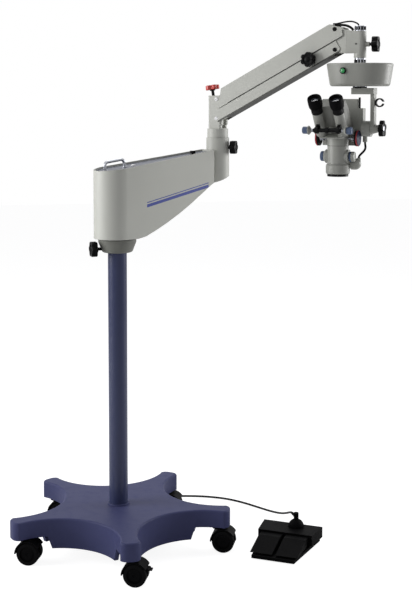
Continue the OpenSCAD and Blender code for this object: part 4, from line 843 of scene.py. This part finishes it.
class EYE_OT_pieces(bpy.types.Operator):
    """Eyepieces: a flanged tube, a fluted dioptre ring, a rubber eyecup with its lens, and the spacing bar"""
    bl_idname = "microscope.eyepieces"
    bl_label = "Eyepieces"

    def execute(self, context):
        strut = fillet([(-6, -9), (6, -9), (6, 9), (-6, 9)], 2)
        for s, side, flip in SIDES:
            body = "eyepiece_" + side
            m = EYE @ move(s * EYE_HALF, 0, 0)
            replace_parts(lathe("eye_tube_" + side, TUBE_LINE, body, "head_grey", m), body)
            fluted("eye_ring_" + side, DIOPTRE_RING, body, "black_ring", m, 48, 0.5)
            lathe("eyecup_" + side, CUP, body, "black_ring", m, material=paint("rubber"))
            lathe("eye_rim_" + side, CUP_FLOOR, body, "black_ring", m)
            lathe("eye_lens_" + side, EYE_LENS, body, "glass", m, material=glass())
            m = SPACING_AXIS @ move(s * EYE_HALF, 0, 0)
            lathe("eye_boss_" + side, EYE_BOSS, body, "black_ring", m @ turn("y", 90), loop=True)
            slab("eye_strut_" + side, strut, 8.5, 24, body, "black_ring", m @ turn("x", -55), r1=0)
        bar = SPACING_AXIS @ turn("y", 90)
        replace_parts(lathe("spacing_bar", SPACING_BAR, "pd_shaft", "black_ring", bar), "pd_shaft")
        lathe("spacing_shaft", [(0, -62), (3.5, -62), (3.5, 62), (0, 62)], "pd_shaft", "steel", bar)
        for s, side, flip in SIDES:
            m = bar @ flip
            fluted("spacing_knob_" + side, SPACING_KNOB, "pd_shaft", "slate", m, 20, 0.5)
            lathe("spacing_flange_" + side, SPACING_FLANGE, "pd_shaft", "head_grey", m)
            lathe("spacing_collar_" + side, SPACING_COLLAR, "pd_shaft", "chrome", m)
        return {"FINISHED"}


MAG_DISC = [(0, 58, 0), (22.6, 58, 0), (24.4, 58.6, 0), (25, 59.6, 1), (25, 63.6, 1), (24.6, 64.4, 0),
            (24.2, 64.6, 0), (0, 64.6, 0)]
MAG_BAND = [(24, 64.2), (25.2, 64.4), (25.4, 65.2), (25.4, 67.4), (24.9, 68.2), (24, 68.4), (24, 64.2)]
MAG_FACE = [(0, 64.4), (24, 64.4), (24.1, 68.4), (23.4, 69.6), (22, 70), (17, 69.9), (16.6, 69.4),
            (15.8, 69.4), (15.4, 69.9), (4.4, 70), (4, 69.4), (0, 69.2)]
MAG_HUB = [(0, 46), (9.5, 46), (9.8, 46.6), (9.8, 51), (8.4, 52), (8.4, 57), (9, 58), (0, 58.2)]
FILTER_KNOB = [(0, 44, 0), (13.4, 44, 0), (15.4, 44.8, 0), (16, 46, 1), (16, 53, 1), (15.4, 54.6, 0),
               (14, 55.6, 0), (10, 56, 0), (0, 56, 0)]
FILTER_GRIP = [(0, 39.4, 0), (14.6, 39.4, 0), (15.6, 40.2, 0), (16, 41.4, 1), (16, 45.4, 1), (15.4, 46.2, 0),
               (0, 46.2, 0)]
FILTER_CAP = [(0, 46), (15.8, 46), (16, 46.6), (16, 53), (15, 55.4), (12.6, 56), (0, 56)]
FILTER_CONE = [(0, 36), (21.6, 36), (21.9, 36.6), (21.9, 38.2), (20.4, 39.4), (17.2, 43.2), (12, 43.8),
               (0, 43.8)]


class OPTIC_OT_knobs(bpy.types.Operator):
    """Magnification and filter knobs: fluted discs with a coloured ring, a raised cap and a chrome shaft"""
    bl_idname = "microscope.optic_knobs"
    bl_label = "Optic knobs"

    def execute(self, context):
        for s, side, flip in SIDES:
            m = MAG_AXIS @ flip
            o = fluted("mag_knob_" + side, MAG_DISC, "mag_knobs", "knob_black", m, 44, 0.5)
            if s < 0:
                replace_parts(o, "mag_knobs")
            lathe("mag_band_" + side, MAG_BAND, "mag_knobs", "band_red", m, loop=True)
            lathe("mag_face_" + side, MAG_FACE, "mag_knobs", "navy", m)
            lathe("mag_hub_" + side, MAG_HUB, "mag_knobs", "chrome", m)
        m = FILTER_AXIS @ UPSIDE_DOWN
        o = fluted("filter_knob_left", FILTER_KNOB, "filter_knobs", "slate", m, 32, 0.4)
        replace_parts(o, "filter_knobs")
        lathe("filter_cone_left", FILTER_CONE, "focus", "head_grey", m)
        fluted("filter_grip_right", FILTER_GRIP, "filter_knobs", "slate", FILTER_AXIS, 32, 0.4)
        lathe("filter_cap_right", FILTER_CAP, "filter_knobs", "head_grey", FILTER_AXIS)
        lathe("mag_shaft", [(0, -60), (4, -60), (4, 60), (0, 60)], "mag_knobs", "chrome", MAG_AXIS)
        lathe("filter_shaft", [(0, -40), (4, -40), (4, 40), (0, 40)], "filter_knobs", "chrome", FILTER_AXIS)
        return {"FINISHED"}


KNURL = [(10.2, -119.7, 0), (20.6, -119.7, 0), (22, -119, 0), (22.4, -118.4, 1), (22.4, -116, 1),
         (22, -115.3, 0), (10.2, -115.3, 0), (10.2, -119.7, 0)]


class LAMP_OT_details(bpy.types.Operator):
    """Power button with its bezel, and the knurled ring under the lamp housing"""
    bl_idname = "microscope.lamp_details"
    bl_label = "Lamp housing details"

    def execute(self, context):
        m = HEAD @ move(-15, 0, -67) @ turn("z", -98) @ move(90, 0, 0) @ turn("y", 90)
        button = [(0, -9), (7, -9), (7, 2.2), (6.6, 3.2), (5.6, 3.8), (0, 4)]
        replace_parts(lathe("lamp_button", button, "power_button", "button_green", m), "power_button")
        bezel = [(7.3, -1.5), (10.4, -1.5), (10.4, 1), (9.8, 1.8), (8.4, 2), (7.5, 1.2), (7.3, -1.5)]
        lathe("lamp_bezel", bezel, "hanger", "black_ring", m, loop=True)
        fluted("lamp_knurl", KNURL, "hanger", "chrome", HEAD, 72, 0.5, n=288)
        return {"FINISHED"}


CAP = [(0, 0), (1, 0), (1, 0.55), (0.94, 0.85), (0.8, 1), (0.46, 1.04), (0.42, 0.8), (0, 0.8)]


def pin_cap(name, r, t, body, slot, matrix):
    """Round cap on a pin's end, with a shallow dimple."""
    return lathe(name, [(q[0] * r, q[1] * t) for q in CAP], body, slot, matrix, n=40)


class DETAIL_OT_small(bpy.types.Operator):
    """Pin caps, set screw, grooves and seams, the guard rod, and the dome on the arm's panel"""
    bl_idname = "microscope.small_parts"
    bl_label = "Small parts"

    def execute(self, context):
        for s in (-1, 1):
            side = "ab"[s > 0]
            across = turn("x", -90 * s)
            for k, z in enumerate((LOW_PIVOT, LOW_PIVOT + PIVOT_GAP)):
                m = TURRET @ move(8.5, 0, z) @ across @ move(0, 0, 24.2)
                pin_cap("yoke_cap_%d_%s" % (k + 1, side), 6.4, 1.8, "turret", "white_cap", m)
            for k, (z, out) in enumerate(((0, 26.85), (PIVOT_GAP, 29.3))):
                m = ELBOW @ move(0, 0, z) @ across @ move(0, 0, out)
                pin_cap("elbow_cap_%d_%s" % (k + 1, side), 6.8, 2, "head_block", "knob_black", m)
        screw = [(0, -0.4), (2.7, -0.4), (2.7, 0.3), (2.2, 0.5), (1.5, 0.5), (1.4, 0.1), (0, 0.1)]
        m = ELBOW @ move(69, -20.2, 17.5) @ turn("z", -96.6) @ turn("y", 90)
        lathe("set_screw", screw, "head_block", "dark_gap", m, n=24)
        m = ARM @ move(61, 0, 1232.5) @ turn("y", -7.4)
        dome = [(0, -3), (8.4, -3), (8.4, 0), (8, 2), (6.4, 4.4), (3.6, 5.8), (0, 6.3)]
        lathe("panel_dome", dome, "arm1", "white_cap", m, n=48)
        rod = [(58, 40, 98), (58, 40, 60), (58, 40, 20), (58, 40, -22)]
        tube("guard_rod", rod, 3.4, "tilt", "knob_black", OPTIC, n=24)
        groove = fillet([(-2.8, -0.9), (2.8, -0.9), (2.8, 0.7), (-2.8, 0.7)], 0.3, 2)
        for k in range(12):
            m = HEAD @ turn("z", 30 * k + 8) @ move(17, 0, 0) @ turn("z", 90)
            slab("nut_groove_%d" % k, groove, 60.4, 72.6, "hanger", "dark_gap", m, r1=0.3)
            m = m @ move(0, -0.4, 0)
            slab("ring_groove_%d" % k, groove, -41.5, -31.4, "hanger", "dark_gap", m, r1=0.3)
        knurl_seam = [(21.2, -121.4), (22.35, -121.4), (22.35, -116), (21.2, -116), (21.2, -121.4)]
        lathe("lamp_knurl", knurl_seam, "hanger", "dark_gap", HEAD, loop=True)
        seam = [(33.1, -54.4), (33.75, -54.4), (33.75, -53.4), (33.1, -53.4), (33.1, -54.4)]
        lathe("barrel_seam", seam, "focus", "dark_gap", OPTIC, loop=True, n=96)
        sleeve = [(8.9, -4.6), (9.9, -4.6), (9.9, 4.6), (8.9, 4.6), (8.9, -4.6)]
        lathe("spacing_sleeve", sleeve, "focus", "black_ring", SPACING_AXIS @ turn("y", 90), loop=True)
        return {"FINISHED"}


# CAD nodes whose edges are rounded: finish, and width of the rounding
DRESSED = {
    "brake_lever": ("caster_black", 0.5), "collar_cup": ("collar_grey", 0.8),
    "arm1_casting": ("casting_grey", 1.2), "arm1_cover": ("cover_stripes", 1.0),
    "arm1_top_panel": ("panel_blue", 0.6), "turret_yoke": ("casting_grey", 1.0),
    "upper_link": ("upper_paint", 0.7), "lower_link": ("link_paint", 0.7),
    "head_block": ("casting_grey", 1.0), "spindle": ("chrome", 0.4), "lamp_housing": ("head_grey", 0.5),
    "lamp_floor": ("head_grey", 0.4), "hanger_bracket": ("head_grey", 1.5), "cable_hook": ("knob_black", 0.8),
    "tilt_carrier": ("head_grey", 1.5), "focus_box": ("head_grey", 1.5), "focus_drive": ("steel", 0.5),
    "scope_body": ("head_grey", 0.6), "objective_ring": ("black_ring", 0.5),
    "binocular_head": ("head_grey", 1.2), "light_guide": ("head_grey", 0.5),
    "footswitch_base": ("switch_black", 1.5), "pedal_left": ("switch_black", 1.2),
    "pedal_right": ("switch_black", 1.2),
}
# CAD nodes whose shape is kept, and their finish
KEPT = {
    "column_tube": "column_blue", "column_bushes": "bronze", "carry_handle": "steel", "power_unit": "steel",
    "yoke_pins": "steel", "spring_cartridge": "steel", "elbow_pins": "steel", "brightness_dial": "knob_black",
}
# Routes of the elbow's cables: shares of the way across the end block, and down from the upper link's top
THIN_SHARES = [(-0.2, 0.37), (-0.05, 0.36), (0.15, 0.16), (0.4, -0.07), (0.65, -0.09), (0.85, 0.28),
               (0.94, 0.65), (0.96, 0.93)]
THICK_SHARES = [(-0.2, 0.28), (-0.05, 0.27), (0.12, 0.28), (0.3, 0.34), (0.45, 0.48), (0.55, 0.64),
                (0.61, 0.78), (0.62, 0.91)]


class CABLE_OT_head(bpy.types.Operator):
    """Two cables that bridge the elbow, and the light guide's cable, each a bent tube baked where it stands,
    attached to no body.
    """
    bl_idname = "microscope.head_cables"
    bl_label = "Head cables"

    def execute(self, context):
        over = ("upper_link", "head_block", *(tuple(place([(x, 0, 80)], ELBOW)[0]) for x in (-6, 46)))
        thick_run = spline([(75 * a, 8, 87 - 29 * b) for a, b in THICK_SHARES])
        thin_run = spline([(75 * a, -6, 87 - 12.7 * b) for a, b in THIN_SHARES])
        o = tube("elbow_cable_thick", thick_run, 4, over, "cable_black", ELBOW)
        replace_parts(o, "elbow_cables")
        tube("elbow_cable_thin", thin_run, 2.5, over, "cable_black", ELBOW)
        t = np.linspace(0, 1, 31)
        ease, bow = 3 * t ** 2 - 2 * t ** 3, np.sin(math.pi * t) ** 2
        run = np.stack([61.3 + 14.7 * ease + 9 * bow, 24 + 18 * ease, -92.5 + 49.5 * t], -1)
        run = np.vstack([run[:1] - (0, 0, 4), run, run[-1:] + (0, 0, 4)])
        ends = tuple(place([(76, 42, -47)], OPTIC)[0]), tuple(place([(61.3, 24, -88)], OPTIC)[0])
        o = tube("light_guide_cable", run, 3.5, ("tilt", "focus", *ends), "cable_black", OPTIC)
        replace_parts(o, "light_cable")
        return {"FINISHED"}


class DRESS_OT_castings(bpy.types.Operator):
    """Castings and covers with their edges rounded and painted"""
    bl_idname = "microscope.castings"
    bl_label = "Castings and covers"

    def execute(self, context):
        for i in range(1, 6):
            dress("caster_hood_%d" % i, "caster_black", 0.8)
        for node, (slot, width) in DRESSED.items():
            dress(node, slot, width)
        for node, slot in KEPT.items():
            keep(node, slot)
        keep("objective_lens", "glass", glass())
        c = context.scene.scope_colours
        banded(paint("cover_stripes"), ARM, c.stripe, 0.2, [(1088, 1098), (1102, 1105)], (74, 330))
        # Painted shade: a dark band along the lower link's underside, standing in for the shade under the
        # arm.
        banded(paint("link_paint"), LOW_LINK, srgb(46, 46, 40), 0, [(-30, -9.5)], (-60, 560))
        banded(paint("upper_paint"), UP_LINK, srgb(40, 40, 36), 0, [(-34, -30.4)], (36, 520))
        return {"FINISHED"}


OPERATORS = [STAGE_OT_floor, CORD_OT_cable, CABLE_OT_head, DRESS_OT_castings, BASE_OT_casting,
             WHEEL_OT_casters, KNOB_OT_locks, EYE_OT_pieces, OPTIC_OT_knobs, LAMP_OT_details, DETAIL_OT_small]


class VIEW3D_PT_microscope(bpy.types.Panel):
    bl_label = "Microscope"
    bl_space_type = "VIEW_3D"
    bl_region_type = "UI"
    bl_category = "Microscope"

    def draw(self, context):
        for op in OPERATORS:
            self.layout.operator(op.bl_idname)


CLASSES = [ScopeColours, ScopeSizes, *OPERATORS, VIEW3D_PT_microscope]


def register():
    for c in CLASSES:
        bpy.utils.register_class(c)
    bpy.types.Scene.scope_colours = PointerProperty(type=ScopeColours)
    bpy.types.Scene.scope_sizes = PointerProperty(type=ScopeSizes)


def unregister():
    del bpy.types.Scene.scope_sizes
    del bpy.types.Scene.scope_colours
    for c in reversed(CLASSES):
        bpy.utils.unregister_class(c)


def main():
    register()
    for op in OPERATORS:
        module, name = op.bl_idname.split(".")
        getattr(getattr(bpy.ops, module), name)()


if __name__ == "__main__":
    main()
